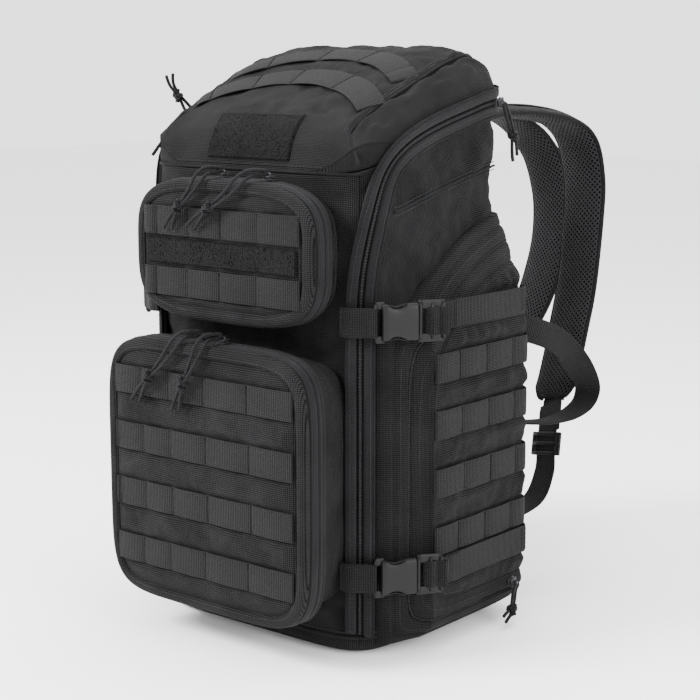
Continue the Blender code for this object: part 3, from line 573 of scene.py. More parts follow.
u, v = np.meshgrid(np.linspace(-0.047, 0.047, 90), np.linspace(SEAM_Z + 0.0105, SEAM_Z + 0.049, 40))
edge = np.minimum(np.minimum(0.047 - np.abs(u), v - SEAM_Z - 0.0105), SEAM_Z + 0.049 - v)
patch = before_cap(u, v, 0.0004 + 0.0020 * np.clip(edge / 0.0012, 0, 1) ** 0.5)
surface("cap_loop_patch", [patch], fuzz, "cap", ["cap_patch"])
u = np.concatenate([np.linspace(-0.0455, 0.0455, 60), np.full(30, 0.0455), np.linspace(0.0455, -0.0455, 60),
                    np.full(30, -0.0455)])
v = np.concatenate([np.full(60, 0.012), np.linspace(0.012, 0.0475, 30), np.full(60, 0.0475),
                    np.linspace(0.0475, 0.012, 30)]) + SEAM_Z
surface("patch_stitches", [stitch_line(before_cap(u, v, 0.0022), (0, 1, 0))], dark_thread_and_painted_shade, "cap")

# ---- Front pockets: a gusset standing off the bag, a zipper band whose two flaps meet over the coil, and a
# face hinged along its bottom, with a padded rolled edge, a sunk seam and puffed cloth between the webbing.
LOWER = {"name": "lower", "width": 0.233, "low": 0.034, "high": 0.268, "stand": 0.059, "taper": 0.0105,
         "power": 6, "held": ()}
UPPER = {"name": "upper", "width": 0.204, "low": 0.284, "high": 0.406, "stand": 0.033, "taper": 0.003,
         "power": 3.6, "held": (0.3425,)}
FACE_DEPTH, ZIP_BAND, ROLL = 0.007, 0.019, 0.011
tape = cloth_paint("zipper_tape", RIBS, (0.0045, 0.0045, 0.0049), 0.0008, 0.0003, 0.7, 0.03, 0.2)
coil = cloth_paint("zipper_coil", WEAVE, (0.0105, 0.0105, 0.0115), 0.0009, 0.0001, 0.42, 0.0, 0.1)
cloth_face = cloth_paint("pocket_nylon", WEAVE, BLACK, THREAD, 0.0005, 0.78)


def zip_teeth(route, across, profile):
    """A zipper's coil along a route: a tube that swells at each tooth."""
    fine = along_route(route, 0.0005)
    if np.ndim(across) == 2:
        share, given = np.linspace(0, 1, len(fine)), np.linspace(0, 1, len(across))
        across = np.stack([np.interp(share, given, column) for column in np.transpose(across)], 1)
    teeth = 0.30 + 0.70 * np.abs(np.sin(np.pi * np.arange(len(fine)) * 0.0005 / 0.0026))
    return sweep(fine, across, profile, teeth)


def pocket_ring(pocket, count=401):
    """The pocket's rounded outline in x and z, its outward directions and its run in metres."""
    half_w, half_h = pocket["width"] / 2, (pocket["high"] - pocket["low"]) / 2
    ring = outline(half_w, half_h, count, pocket["power"])
    power = pocket["power"] - 1
    out = unit(np.sign(ring) * np.abs(ring / (half_w, half_h)) ** power * (half_h, half_w))
    return ring + (0, half_h + pocket["low"]), out, np.linspace(0, 2 * (half_w + half_h) * 1.9, count)


def ring_grid(pocket, profile, creased=0.0, seed=1):
    """The outline repeated at each (inset, y) of a profile, with folds pressed in between its ends."""
    ring, out, run = pocket_ring(pocket)
    inset, depth = np.array(profile, float).T
    press = creased * folds(run[None], depth[:, None] * 1.5, seed,
                            0.035) * np.sin(np.linspace(0, np.pi, len(inset)))[:, None] ** 0.5
    plan = ring[None] - out[None] * (inset[:, None] + press)[..., None]
    y = np.broadcast_to(depth[:, None], plan.shape[:2])
    return np.stack([plan[..., 0], y, plan[..., 1]], -1)


def pocket_gusset(pocket):
    """Grid of the gusset: bag front to zipper band and back inside."""
    face_y = -BAG_D / 2 - pocket["stand"]
    band = face_y + FACE_DEPTH + GAP + ZIP_BAND
    back = -BAG_D / 2 + 0.001
    outer = ring_grid(pocket, np.linspace((pocket["taper"], back), (0.0006, band), 26), 0.0034, 31)
    inner = ring_grid(pocket, np.linspace((0.0028, band), (pocket["taper"] + 0.0025, back), 4))
    x = outer[0, :, 0]
    outer[0, :, 1] = np.maximum(bag_front(x), -BAG_D / 2)
    return np.concatenate([outer, inner])


def zip_flaps(pocket):
    """Two welted flaps over the coil, as one profile with a slot down its middle."""
    face_y = -BAG_D / 2 - pocket["stand"]
    top, low = face_y + FACE_DEPTH + GAP, face_y + FACE_DEPTH + GAP + ZIP_BAND
    mid = (top + low) / 2
    steps = [(0.0012, low), (-0.0004, low - 0.0006), (-0.0009, low - 0.0022), (-0.0004, low - 0.0034),
             (-0.0011, low - 0.0060),
             (-0.0010, mid + 0.0016), (-0.0002, mid + 0.0006), (0.0014, mid + 0.0002), (0.0014, mid - 0.0002),
             (-0.0002, mid - 0.0006), (-0.0010, mid - 0.0016), (-0.0011, top + 0.0060),
             (-0.0004, top + 0.0034),
             (-0.0009, top + 0.0022), (-0.0004, top + 0.0006), (0.0012, top)]
    at = np.linspace(0, len(steps) - 1, 46)
    outer = np.stack([np.interp(at, np.arange(len(steps)), np.array(steps)[:, k]) for k in (0, 1)], 1)
    inner = [(0.0030, top), (0.0030, low)]
    return np.concatenate([ring_grid(pocket, outer), ring_grid(pocket, inner)])


def pocket_face(pocket, rows):
    """Grid of the face: inside wall, rolled edge, a sunk seam, then puffed cloth to its middle."""
    face_y = -BAG_D / 2 - pocket["stand"]
    hinge = face_y + FACE_DEPTH
    edge = [(0.0026, hinge), (0.0006, hinge - 0.0002), (-0.0004, hinge - 0.0022), (-0.0002, hinge - 0.0040),
            (0.0008, face_y + 0.0010),
            (0.0026, face_y - 0.0003), (0.0050, face_y - 0.0009), (0.0078, face_y - 0.0006),
            (ROLL - 0.0012, face_y + 0.0004),
            (ROLL - 0.0002, face_y + 0.0018), (ROLL + 0.0008, face_y + 0.0012),
            (ROLL + 0.0022, face_y + 0.0002)]
    at = np.linspace(0, len(edge) - 1, 44)
    edge = np.stack([np.interp(at, np.arange(len(edge)), np.array(edge)[:, k]) for k in (0, 1)], 1)
    rim = ring_grid(pocket, edge)
    ring = rim[-1]
    middle = np.array([0, 0, (pocket["low"] + pocket["high"]) / 2])
    share = np.linspace(1, 0, 115)[1:, None]
    x = ring[None, :, 0] * share
    z = middle[2] + (ring[None, :, 2] - middle[2]) * share
    nearest = np.min(np.abs(z[..., None] - np.array([*rows, *pocket["held"]])), axis=-1)
    free = np.clip((nearest - WEB / 2) / 0.006, 0, 1)
    inside = np.clip((1 - share) / 0.08, 0, 1)
    puff = inside * free * (0.0008 + 0.0026 * folds(x, z * 2.2, 41, 0.05)) - 0.0012 * (1 - free) * 0.3
    puff += inside * 0.0010 * folds(x, z, 44, 0.020)
    face = np.stack([x, face_y + 0.0002 - puff, z], -1)
    back = middle + (ring - middle) * np.linspace(0, 0.99, 8)[:, None, None]
    back[..., 1] = face_y + 0.0034
    lining = ring_grid(pocket, [(0.0046, face_y + 0.0040), (0.0026, hinge)])
    return np.concatenate([rim, face, back, lining])


def from_front(points):
    """Flat coordinates seen from the front: across and up."""
    return points[..., [0, 2]]


def front_pocket(pocket, rows, tacks, half):
    """All the cloth of one front pocket, with its seams and webbing rows."""
    name, body = pocket["name"] + "_pocket", pocket["name"] + "_face"
    face_y = -BAG_D / 2 - pocket["stand"]
    surface(name + "_gusset_cloth", [pocket_gusset(pocket)], nylon, "pack", [name + "_gusset"])
    surface(name + "_zip_flaps", [zip_flaps(pocket)], tape, "pack", [name + "_zipper"])
    ring, out, _ = pocket_ring(pocket, 1201)
    mid = face_y + FACE_DEPTH + GAP + ZIP_BAND / 2
    track = np.column_stack([ring[:, 0], np.full(1201, mid), ring[:, 1]])
    normal = np.column_stack([out[:, 0], 0 * out[:, 0], out[:, 1]])
    teeth = zip_teeth(track + normal * -0.0010, (0, 1, 0), tube_profile(0.0013, 7))
    surface(name + "_coil", [teeth], coil, "pack")
    lines = [stitch_line(track + normal * 0.0010 + (0, off, 0), (0, 1, 0)) for off in (-0.0062, 0.0062)]
    surface(name + "_band_stitches", lines, thread, "pack")
    seam = track + normal * (ROLL - 0.0036) * -1
    seam[:, 1] = face_y - 0.0006
    surface(name + "_edge_stitches", [stitch_line(seam, (0, 1, 0))], thread, body)
    surface(name + "_face_cloth", [pocket_face(pocket, rows)], cloth_face, body, [name + "_face"],
            from_front)
    strips, marks = [], []
    for k, z in enumerate(rows):
        def on_face(run, across, lift, z=z):
            return np.stack([run + 0 * across, face_y - 0.0002 - lift + 0 * run, z + across + 0 * run], -1)

        places = np.array(tacks) + 0.002 * ((k * 7) % 3 - 1)
        strips.append(webbing_row((-half, half), places, on_face))
        marks += tack_marks(places, on_face)
    surface(name + "_rows", strips, webbing, body, [pocket["name"] + "_webbing"])
    # The tack ridges are painted near-black: painted shade of the sunk bar stitching.
    surface(name + "_tacks", marks, dark_thread_and_painted_shade, body)


lower_rows = [LOWER["high"] - 0.0385 - 0.051 * k for k in range(4)]
front_pocket(LOWER, lower_rows, (-0.102, -0.069, -0.036, 0.006, 0.056), 0.1045)
upper_rows = [UPPER["low"] + 0.032, UPPER["low"] + 0.085]
front_pocket(UPPER, upper_rows, (-0.074, -0.036, 0.002, 0.044), 0.0900)

# Fuzzy loop strip between the upper pocket's two webbing rows
face_y = -BAG_D / 2 - UPPER["stand"]
u, v = np.meshgrid(np.linspace(-0.087, 0.087, 150), np.linspace(-0.0108, 0.0108, 30))
edge = np.minimum(0.087 - np.abs(u), 0.0108 - np.abs(v))
strip = np.stack([u, face_y - 0.0008 - 0.0018 * np.clip(edge / 0.0012, 0, 1) ** 0.5, 0.3425 + v], -1)
surface("upper_loop_fuzz", [strip], fuzz, "upper_face", ["upper_loop_strip"])

# ---- Main zipper: one tape up the right corner, back along the rim, round the back and down the left side.
# Two tapes are sewn down with twin rows of thread and meet on a coil.
TAPE_W, TAPE_T = 0.022, 0.0022


def zip_route():
    """Half of the zipper's line, from the foot of the right corner to the middle of the back."""
    lift = GAP + TAPE_T / 2
    ring = outline(BAG_W / 2 + lift, BAG_D / 2 + lift, 1441)
    right = ring[ring[:, 0] > 0]
    corner = right[np.argmin(np.abs(right[:, 0] * BAG_D + right[:, 1] * BAG_W))]
    side = right[right[:, 1] > corner[1]]
    side = side[np.argsort(np.arctan2(side[:, 1], side[:, 0]))]
    turn, lead = SEAM_Z - 0.100, corner[1] + BAG_D * 0.10
    route = [(*corner, z) for z in np.linspace(0.020, turn - 0.03, 4)]
    share = np.linspace(0, 1, 7)[1:]
    bend_y = corner[1] + (lead - corner[1]) * share**1.6
    bend_x = np.interp(bend_y, side[:, 1], side[:, 0])
    route += list(zip(bend_x, bend_y, turn + (rim_z(lead) - turn) * share))
    arc = side[side[:, 1] > lead + 2 * TAPE_T]
    route += [(x, y, rim_z(np.minimum(y, BAG_D / 2))) for x, y in arc[:: max(1, len(arc) // 22)]]
    line = curve_through([p for p in route if p[0] > 0.0005], 0.0015)
    last = np.argmax(line[:, 1] > 0.03)
    for _ in range(300):
        line[1:last] = (line[: last - 1] + 2 * line[1:last] + line[2 : last + 1]) / 4
    line[1:last, 0] = np.interp(line[1:last, 1], side[:, 1], side[:, 0])
    return np.vstack([line, line[-1:] * (0, 1, 1)])


half_line = zip_route()
zip_line = along_route(np.vstack([half_line, half_line[-2::-1] * (-1, 1, 1)]), 0.0015)
plan = zip_line * (2 / BAG_W, 2 / BAG_D, 0)
zip_out = unit(np.sign(plan) * np.abs(plan) ** (POWER - 1) * (BAG_D, BAG_W, 0))
for _ in range(30):
    zip_out[1:-1] = (zip_out[:-2] + zip_out[1:-1] * 2 + zip_out[2:]) / 4
zip_out = unit(zip_out)
zip_across = unit(np.cross(zip_out, np.gradient(zip_line, axis=0)))


def beside(off, lift):
    """The zipper's line moved across its tape and off the bag."""
    return zip_line + zip_across * off + zip_out * lift


half = TAPE_W / 2
slot = [(half, -0.0045), (half, 0.0004), (half - 0.001, 0.0010), (0.0064, 0.0013), (0.0044, 0.0011),
        (0.0034, 0.0002),
        (0.0031, -0.0011), (0.0010, -0.0012)]
tape_section = np.array(slot + [(-a, b) for a, b in slot[::-1]] + slot[:1])
surface("main_zip_tape", [sweep(zip_line, -zip_across, tape_section)], tape, "pack", ["main_zipper"])
# Painted shadow: a near-black strip laid under the coil, standing in for the shade down the zipper's slot.
surface("main_zip_slot_painted_shadow", [sweep(beside(0, -0.0011), zip_across, np.array([(-0.0031, 0), (0.0031, 0)]))],
        dark_thread_and_painted_shade, "pack")
teeth = zip_teeth(beside(0, -0.0002), zip_across, tube_profile(0.0017, 8, 0.62))
surface("main_zip_coil", [teeth], coil, "pack")
lines = [stitch_line(beside(off, 0.0012), (0.3, 0.9, 0.1)) for off in (-0.0088, 0.0088)]
surface("main_zip_stitches", lines, thread, "pack")
welts = [sweep(beside(off, 0.0004), zip_across, tube_profile(0.0011, 8, 0.8))
         for off in (-half - 0.0006, half + 0.0006)]
surface("main_zip_welts", welts, binding, "pack")

# ---- Bag seams: a slanting seam on each upper side, with a folded ridge and a thread line each side of it,
# and the flat bindings that run round the foot.
seam_parts, seam_thread = [], []
for hand in (1, -1):
    y = np.linspace(-0.066, 0.089, 90)
    z = np.interp(y, (-0.0603, 0.0814), (0.3823, 0.4113)) + 0.003 * np.sin((y + 0.06) / 0.16 * np.pi)
    x = hand * bag_side(y)
    seam_parts.append(sweep(np.stack([x - hand * 0.0002, y, z], 1), (0, -0.2, 1),
                            tube_profile(0.0011, 8, 0.6)))
    for off in (-0.0034, 0.0034):
        seam_thread.append(stitch_line(np.stack([x - hand * 0.0006, y, z + off], 1), (0, 0, 1)))
ring = outline(BAG_W / 2, BAG_D / 2, 700)
foot = np.column_stack([ring * 1.002, np.full(700, BASE_INSET + 0.004)])
out = unit(np.column_stack([np.sign(ring) * np.abs(ring / (BAG_W / 2, BAG_D / 2)) ** 5 * (BAG_D, BAG_W),
                            np.zeros(700)]))
seam_parts.append(sweep(foot, (0, 0, 1), tube_profile(0.0015, 8, 0.7)))
seam_thread.append(stitch_line(foot + (0, 0, 0.0045) + out * -0.0004, (0, 0, 1)))
surface("bag_seams", seam_parts, binding, "pack")
surface("bag_seam_stitches", seam_thread, thread, "pack")

# ---- Side pockets: padded pockets with a zipper welt round their front and top, four webbing rows, cloth
# that swells between the rows, and gathered cloth above the top row.
SIDE_STAND, SIDE_Y, SIDE_BASE_Z = 0.028, (0.024 - BAG_D / 2, BAG_D / 2 - 0.0045), 0.008
SIDE_TOP_Z, SIDE_FULL_Z, SIDE_SLOPE, SIDE_BACK = (0.274, 0.370), (0.032, 0.252), 0.036, 0.018
SIDE_ROWS = (0.0985, 0.1495, 0.2005, 0.2495)


def side_top(y):
    """The pocket's top edge climbs towards the back as a quarter sine."""
    share = np.clip((y - SIDE_Y[0]) / (SIDE_Y[1] - SIDE_Y[0]), 0, 1)
    return SIDE_TOP_Z[0] + (SIDE_TOP_Z[1] - SIDE_TOP_Z[0]) * np.sin(share * np.pi / 2)


def side_face(y, z):
    """The pocket's smooth outer surface in x: quarter-round falls in front, at the back, below and above."""
    front = np.clip((y - SIDE_Y[0]) / SIDE_SLOPE, 0, 1)
    back = np.clip((SIDE_Y[1] - y) / SIDE_BACK, 0, 1)
    low = np.clip((z - SIDE_BASE_Z) / (SIDE_FULL_Z[0] - SIDE_BASE_Z), 0, 1)
    high = np.clip((side_top(y) - z) / (side_top(y) - SIDE_FULL_Z[1]), 0, 1)
    fall = np.sqrt(np.maximum(1 - (1 - back) ** 2, 0)) * np.sqrt(np.maximum(1 - (1 - low) ** 2, 0))
    front = front * (1 - 0.25 * np.sin(np.pi * front) * 0.6)
    least = bag_side(y) + 0.0035 * np.clip(front * 8, 0, 1)
    return least + (BAG_W / 2 + SIDE_STAND - least) * front * fall * np.sin(high * np.pi / 2)


def from_edge(y, z):
    """Distance in from the pocket's front, top and foot edges, rounded where they meet."""
    front = np.maximum(y - SIDE_Y[0], 1e-4)
    top = np.maximum((side_top(y) - z) * 0.80, 1e-4)
    foot = np.maximum(z - SIDE_BASE_Z, 1e-4)
    return (front**-3.0 + top**-3.0 + foot**-3.0) ** (-1 / 3)


def side_relief(y, z):
    """Offset in metres: welt flaps with a slot between, a sunk seam inside them, swells and folds."""
    d = from_edge(y, z)
    flap = np.exp(-(((d - 0.0145) / 0.0042) ** 4)) + np.exp(-(((d - 0.0245) / 0.0042) ** 4))
    cut = np.exp(-(((d - 0.0195) / 0.0009) ** 2))
    seam = np.exp(-(((d - 0.0085) / 0.0010) ** 2)) + np.exp(-(((d - 0.0335) / 0.0012) ** 2))
    held = (*SIDE_ROWS, SIDE_ROWS[0] - WEB - 0.0015, 0.293)
    nearest = np.min(np.abs(z[..., None] - np.array(held)), axis=-1)
    inner = np.clip((d - 0.036) / 0.008, 0, 1)
    free = np.clip((nearest - WEB / 2) / 0.007, 0, 1)
    swell = inner * free * (0.0010 + 0.0042 * folds(y, z * 1.8, 51, 0.055))
    above = np.clip((z - 0.268) / 0.02, 0, 1) * inner
    gathers = above * free * 0.0050 * (folds(y * 2.2, z * 0.5, 57, 0.030, 3) - 0.4)
    wear = 0.0008 * folds(y, z, 58, 0.02) * np.clip((d - 0.028) / 0.01, 0, 1)
    return 0.0013 * flap - 0.0028 * cut - 0.0016 * seam + swell + gathers + wear - 0.0008 * inner


def side_cloth(hand):
    """Grid of the pocket, with its border turned in behind it to the bag's wall."""
    y = np.linspace(*SIDE_Y, 216)[:, None]
    share = np.linspace(0, 1, 380)[None, :]
    z = SIDE_BASE_Z + share * (side_top(y) - SIDE_BASE_Z)
    y = y + 0 * z
    x = side_face(y, z) + side_relief(y, z) * np.clip(from_edge(y, z) / 0.004, 0, 1)
    front = np.stack([hand * x, y, z], -1)
    sunk = bag_side(y) - 0.002
    front[0, :, 0], front[-1, :, 0] = hand * sunk[0], hand * sunk[-1]
    front[:, 0, 0], front[:, -1, 0] = hand * sunk[:, 0], hand * sunk[:, -1]
    return front


def from_side(points):
    """Flat coordinates of a side: along plus the fall towards each end, and up."""
    x, y, z = np.moveaxis(points, -1, 0)
    return np.stack([y + np.sign(y) * (BAG_W / 2 + SIDE_STAND - np.abs(x)), z], -1)


def contour(level, hand, lift):
    """The line round the pocket at one distance in from its edge, from the back of its top to its foot."""
    turn = np.radians(np.linspace(62, 262, 420))[:, None]
    reach = np.linspace(0, 0.25, 1400)[None]
    y, z = 0.045 + reach * np.cos(turn), 0.15 + reach * np.sin(turn)
    inside = (from_edge(y, z) > level) & (y > SIDE_Y[0]) & (z > SIDE_BASE_Z) & (z < side_top(y))
    last = reach[0, np.argmin(inside, axis=1)][:, None]
    y, z = (0.045 + last * np.cos(turn))[:, 0], (0.15 + last * np.sin(turn))[:, 0]
    line = np.stack([y, z], 1)[y < SIDE_Y[1] - 0.006]
    return np.stack([hand * (side_face(*line.T) + lift), line[:, 0], line[:, 1]], 1)


for hand, tag in ((1, "right"), (-1, "left")):
    padding = surface(f"side_cloth_{tag}", [side_cloth(hand)], nylon, "pack",
                      [f"side_pocket_{tag}"], from_side)
    teeth = zip_teeth(contour(0.0195, hand, -0.0006), (hand, 0, 0), tube_profile(0.0013, 7))
    surface(f"side_zip_coil_{tag}", [teeth], coil, "pack")
    sewn = [stitch_line(contour(level, hand, 0.0010), (0, 0.7, 0.7)) for level in (0.0125, 0.0262)]
    sewn.append(stitch_line(contour(0.0362, hand, 0.0006), (0, 0.7, 0.7)))
    surface(f"side_stitches_{tag}", sewn, thread, "pack")
    strips, marks = [], []
    last = SIDE_Y[1] - SIDE_BACK * 0.4
    for k, z in enumerate(SIDE_ROWS):
        def on_side(run, across, lift, z=z, hand=hand):
            return np.stack([hand * (side_face(run, z + across) + 0.0006 + lift), run + 0 * across,
                             z + across + 0 * run], -1)

        places = np.array((-0.010, 0.030, 0.070)) + 0.004 * ((k * 5) % 3 - 1)
        strips.append(webbing_row((-0.0475, last), places, on_side))
        marks += tack_marks(places, on_side)
    surface(f"side_rows_{tag}", strips, webbing, "pack", [f"side_webbing_{tag}"])
    # The tack ridges are painted near-black: painted shade of the sunk bar stitching.
    surface(f"side_tacks_{tag}", marks, dark_thread_and_painted_shade, "pack")

# ---- Compression straps and side-release buckles: the hollow half is sewn to the bag's front corner on a
# short webbing stub; the pronged half has a ladder end that the strap from the side pocket threads through.
BUCKLE_TURN, BUCKLE_START, BUCKLE_Z = math.radians(55), (BAG_W / 2 + 0.0035, 0.0095 - BAG_D / 2), (0.074,
    0.293)
FEMALE_L, FEMALE_T, MALE_L = 0.037, 0.011, 0.024


def satin_plastic(name, colour, rough):
    """Moulded plastic: fine sanded grain, faint flow marks and rubbed edges."""
    made = bpy.data.materials.new(name)
    made.use_nodes = True
    tree = made.node_tree
    place = tree.nodes.new("ShaderNodeTexCoord").outputs["Object"]
    edge = tree.nodes.new("ShaderNodeNewGeometry").outputs["Pointiness"]
    shader = paint_between(tree, remap(tree, edge, (0.52, 0.60)), colour, [c * 1.6 for c in colour])
    flow = remap(tree, noise(tree, place, 90), (0, 1), (rough - 0.08, rough + 0.12))
    tree.links.new(flow, shader.inputs["Roughness"])
    raise_surface(tree, shader, noise(tree, place, 1500), 0.25, 0.0001)
    shader.inputs["Specular IOR Level"].default_value = 0.20
    return made


plastic = satin_plastic("buckle_plastic", (0.0020, 0.0020, 0.0022), 0.48)


def stack(centre, axes, stations, power=5.0, count=65):
    """Rounded rectangles along axes[0]; a station is (distance, width, thickness, sideways, outwards)."""
    axes = np.asarray(axes, float)
    rings = []
    for distance, wide, thick, aside, outward in stations:
        pairs = outline(wide / 2, thick / 2, count, power) + (aside, outward)
        rings.append(np.asarray(centre) + distance * axes[0] + pairs @ axes[1:])
    ends = [np.broadcast_to(ring.mean(0), ring.shape) for ring in (rings[0], rings[-1])]
    return np.array([ends[0], *rings, ends[1]])


def bar(start, end, wide, thick, across):
    """A straight rounded bar between two points."""
    route = np.linspace(start, end, 6)
    return sweep(route, across, strap_profile(wide, thick))


def buckle_shell(start, axes):
    """The hollow half: a waisted box, a ridge and a rail each side, and the bar its stub is sewn on."""
    along, up, out = axes
    steps = [(0.0060, 0.0300, 0.0070, 0, -0.0006), (0.0066, 0.0312, 0.0090, 0, 0),
             (0.0080, 0.0318, 0.0102, 0, 0)]
    waist = [(0.0100, 0.0315), (0.0125, 0.0290), (0.0150, 0.0262), (0.0185, 0.0250), (0.0220, 0.0262)]
    waist += [(0.0250, 0.0292), (0.0275, 0.0318)]
    steps += [(distance, wide, FEMALE_T, 0, 0.0002) for distance, wide in waist]
    steps += [(0.0330, 0.0320, FEMALE_T, 0, 0), (0.0362, 0.0318, 0.0104, 0, 0),
              (FEMALE_L, 0.0308, 0.0094, 0, 0)]
    at = np.linspace(0, len(steps) - 1, 60)
    body = np.stack([np.interp(at, np.arange(len(steps)), column) for column in np.transpose(steps)], 1)
    parts = [stack(start, axes, body, 4.5)]
    for side in (1, -1):
        rail = start + up * side * 0.0142
        parts.append(bar(rail + along * 0.0008, rail + along * 0.0085, 0.0034, 0.0060, out))
        ridge = [(0.0092, 0.0012, 0.0090, side * 0.0150, 0), (0.0180, 0.0011, 0.0094, side * 0.0131, 0.0001)]
        ridge.append((0.0272, 0.0012, 0.0090, side * 0.0155, 0))
        parts.append(stack(start, axes, ridge, 3.0, 25))
    middle = start + along * 0.0010
    parts.append(bar(middle - up * 0.0155, middle + up * 0.0155, 0.0030, 0.0044, along))
    return parts


def buckle_prongs(base, axes):
    """The pronged half: a middle tongue, two sprung prongs, two rails and three cross bars."""
    along, up, out = axes
    tongue = [(-0.0210, 0.0060, 0.0040, 0, 0), (-0.0200, 0.0080, 0.0046, 0, 0),
              (-0.0010, 0.0090, 0.0046, 0, 0)]
    parts = [stack(base, axes, tongue, 3.0, 33)]
    prong = ((-0.0185, 0.0024, 0.0044, 0.0100), (-0.0150, 0.0052, 0.0050, 0.0112),
             (-0.0100, 0.0050, 0.0052, 0.0118),
             (-0.0050, 0.0034, 0.0048, 0.0108), (0.0004, 0.0036, 0.0048, 0.0105))
    for side in (1, -1):
        parts.append(stack(base, axes, [(d, w, t, side * aside, 0) for d, w, t, aside in prong], 3.0, 25))
        rail = base + up * side * 0.0143
        end = rail - up * side * 0.0006 + along * (MALE_L - 0.001)
        parts.append(bar(rail + along * 0.0002, end, 0.0032, 0.0068, out))
    for place, wide in ((0.0018, 0.0036), (0.0128, 0.0030), (MALE_L - 0.0016, 0.0034)):
        middle = base + along * place
        parts.append(bar(middle - up * 0.0148, middle + up * 0.0148, wide, 0.0058, along))
    return parts


def strip_through(points, wide, thick, across):
    """Webbing along a smooth line through given points."""
    return sweep(curve_through(points, 0.001), across, strap_profile(wide, thick))


def cross_stitches(centre, up, count=20):
    """A line of thread across a strap, from just inside one edge to the other."""
    return stitch_line(centre + np.linspace(-0.0105, 0.0105, count)[:, None] * up, (0, 1, 0))


def buckle_stub(hand, tag, level, start, axes):
    """The short webbing loop from the bag's front to the shell's bar, with its box of stitches."""
    along, up, out = axes
    foot = np.array([hand * (BAG_W / 2 - 0.023), -BAG_D / 2 - 0.0026, start[2]])
    near, low = start + along * 0.0012, start - along * 0.006
    route = [foot, foot + (hand * 0.010, -0.0004, 0), low - out * 0.001, near + out * 0.0034]
    back = [near - out * 0.0034, low - out * 0.0035, foot + (hand * 0.010, 0.0012, 0), foot + (0, 0.0012, 0)]
    strips = [strip_through(points, WEB, 0.0014, up) for points in (route, back)]
    surface(f"{level}_stub_{tag}", strips, webbing, "pack")
    stub = curve_through(route, 0.001)
    sewn = stub[(np.abs(stub[:, 0]) < BAG_W / 2 - 0.012)]
    marks = [stitch_line(sewn + (0, -0.0008, off), up) for off in (-0.0095, 0.0095)]
    corner = foot + (hand * 0.0015, -0.0012, 0)
    marks.append(stitch_line(np.linspace(corner - up * 0.0105, corner + up * 0.0105, 20), (1, 0, 0)))
    surface(f"{level}_stub_stitches_{tag}", marks, thread, "pack")


def buckle_strap(hand, tag, level, base, axes):
    """The strap over the side pocket, and the doubled end of it that threads through the prongs' ladder."""
    along, up, out = axes
    row = base[2] if level == "upper" else SIDE_ROWS[0] - WEB - 0.0015
    y = np.linspace(-0.036, SIDE_Y[1] - SIDE_BACK * 0.3, 90)
    lie = np.stack([hand * (side_face(y, np.full(90, row)) + 0.0042), y, np.full(90, row)], 1)
    strip = sweep(lie, up, strap_profile(WEB, 0.0018))
    surface(f"{level}_strap_web_{tag}", [strip], webbing, "pack", [f"{level}_strap_{tag}"])
    ends = [cross_stitches(lie[78:84].mean(0) + (hand * 0.0012, dy, 0), up) for dy in (-0.003, 0.003)]
    surface(f"{level}_strap_stitches_{tag}", ends, thread, "pack")
    lead = base + along * 0.0128
    turn = lead - along * 0.0058 - out * 0.0012
    over = [turn, lead + out * 0.0040, lead + along * 0.0060 + out * 0.0016]
    over += [lead + along * (MALE_L - 0.0105) + out * 0.0050, lie[0] + (hand * 0.0014, -0.004, 0)]
    over += [lie[6] + (hand * 0.0022, 0, 0), lie[14] + (hand * 0.0022, 0, 0)]
    under = [turn, lead - out * 0.0046, base + along * MALE_L - out * 0.0040]
    under += [lie[0] + (-hand * 0.001, -0.003, 0), lie[2]]
    strips = [strip_through(points, WEB - 0.0012, 0.0015, up) for points in (over, under)]
    bridge = surface(f"{level}_strap_bridge_{tag}", strips, webbing, None)
    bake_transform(bridge)
    tail = lie[14] + (hand * 0.0032, -0.002, 0)
    surface(f"{level}_tail_stitches_{tag}", [cross_stitches(tail, up, 16)], thread, "pack")


def buckle(hand, tag, level, z):
    """Both halves of one buckle, its stub and the strap that pulls it tight."""
    along = np.array([hand * math.cos(BUCKLE_TURN), math.sin(BUCKLE_TURN), 0])
    out = np.array([hand * math.sin(BUCKLE_TURN), -math.cos(BUCKLE_TURN), 0])
    axes = (along, np.array([0, 0, 1.0]), out)
    start = np.array([hand * BUCKLE_START[0], BUCKLE_START[1], z])
    socket, clip = f"{level}_buckle_socket_{tag}", f"{level}_clip_{tag}"
    surface(f"{level}_buckle_shell_{tag}", buckle_shell(start, axes), plastic, "pack", [socket])
    base = start + along * (FEMALE_L + 0.0005)
    prongs = buckle_prongs(base, axes)
    surface(f"{level}_buckle_prongs_{tag}", prongs, plastic, clip, [f"{level}_buckle_clip_{tag}"])
    buckle_stub(hand, tag, level, start, axes)
    buckle_strap(hand, tag, level, base, axes)


for hand, tag in ((1, "right"), (-1, "left")):
    for level, z in zip(("lower", "upper"), BUCKLE_Z):
        buckle(hand, tag, level, z)

# ---- Shoulder harness: padded straps with smooth nylon outside and open air mesh on the wearer's side,
# webbing tails through ladder adjusters, side grab loops, two back pads and a haul handle.
PAD_W, PAD_T = 0.050, 0.012
STRAP_ROUTES = {
    "right": [(0.062, 0.118, 0.452), (0.063, 0.170, 0.456), (0.067, 0.225, 0.4535), (0.074, 0.272, 0.444),
              (0.081, 0.295, 0.424), (0.087, 0.300, 0.390), (0.091, 0.2945, 0.3549), (0.097, 0.2755, 0.286),
              (0.102, 0.2526, 0.2384), (0.106, 0.2320, 0.2010), (0.109, 0.2150, 0.1760)],
    "left": [(-0.062, 0.118, 0.452), (-0.056, 0.190, 0.458), (-0.044, 0.275, 0.455), (-0.026, 0.335, 0.440),
             (-0.006, 0.360, 0.408), (0.008, 0.363, 0.3665), (0.014, 0.356, 0.325), (0.012, 0.346, 0.285),
             (0.003, 0.334, 0.243), (-0.014, 0.312, 0.200), (-0.034, 0.285, 0.166)],
}
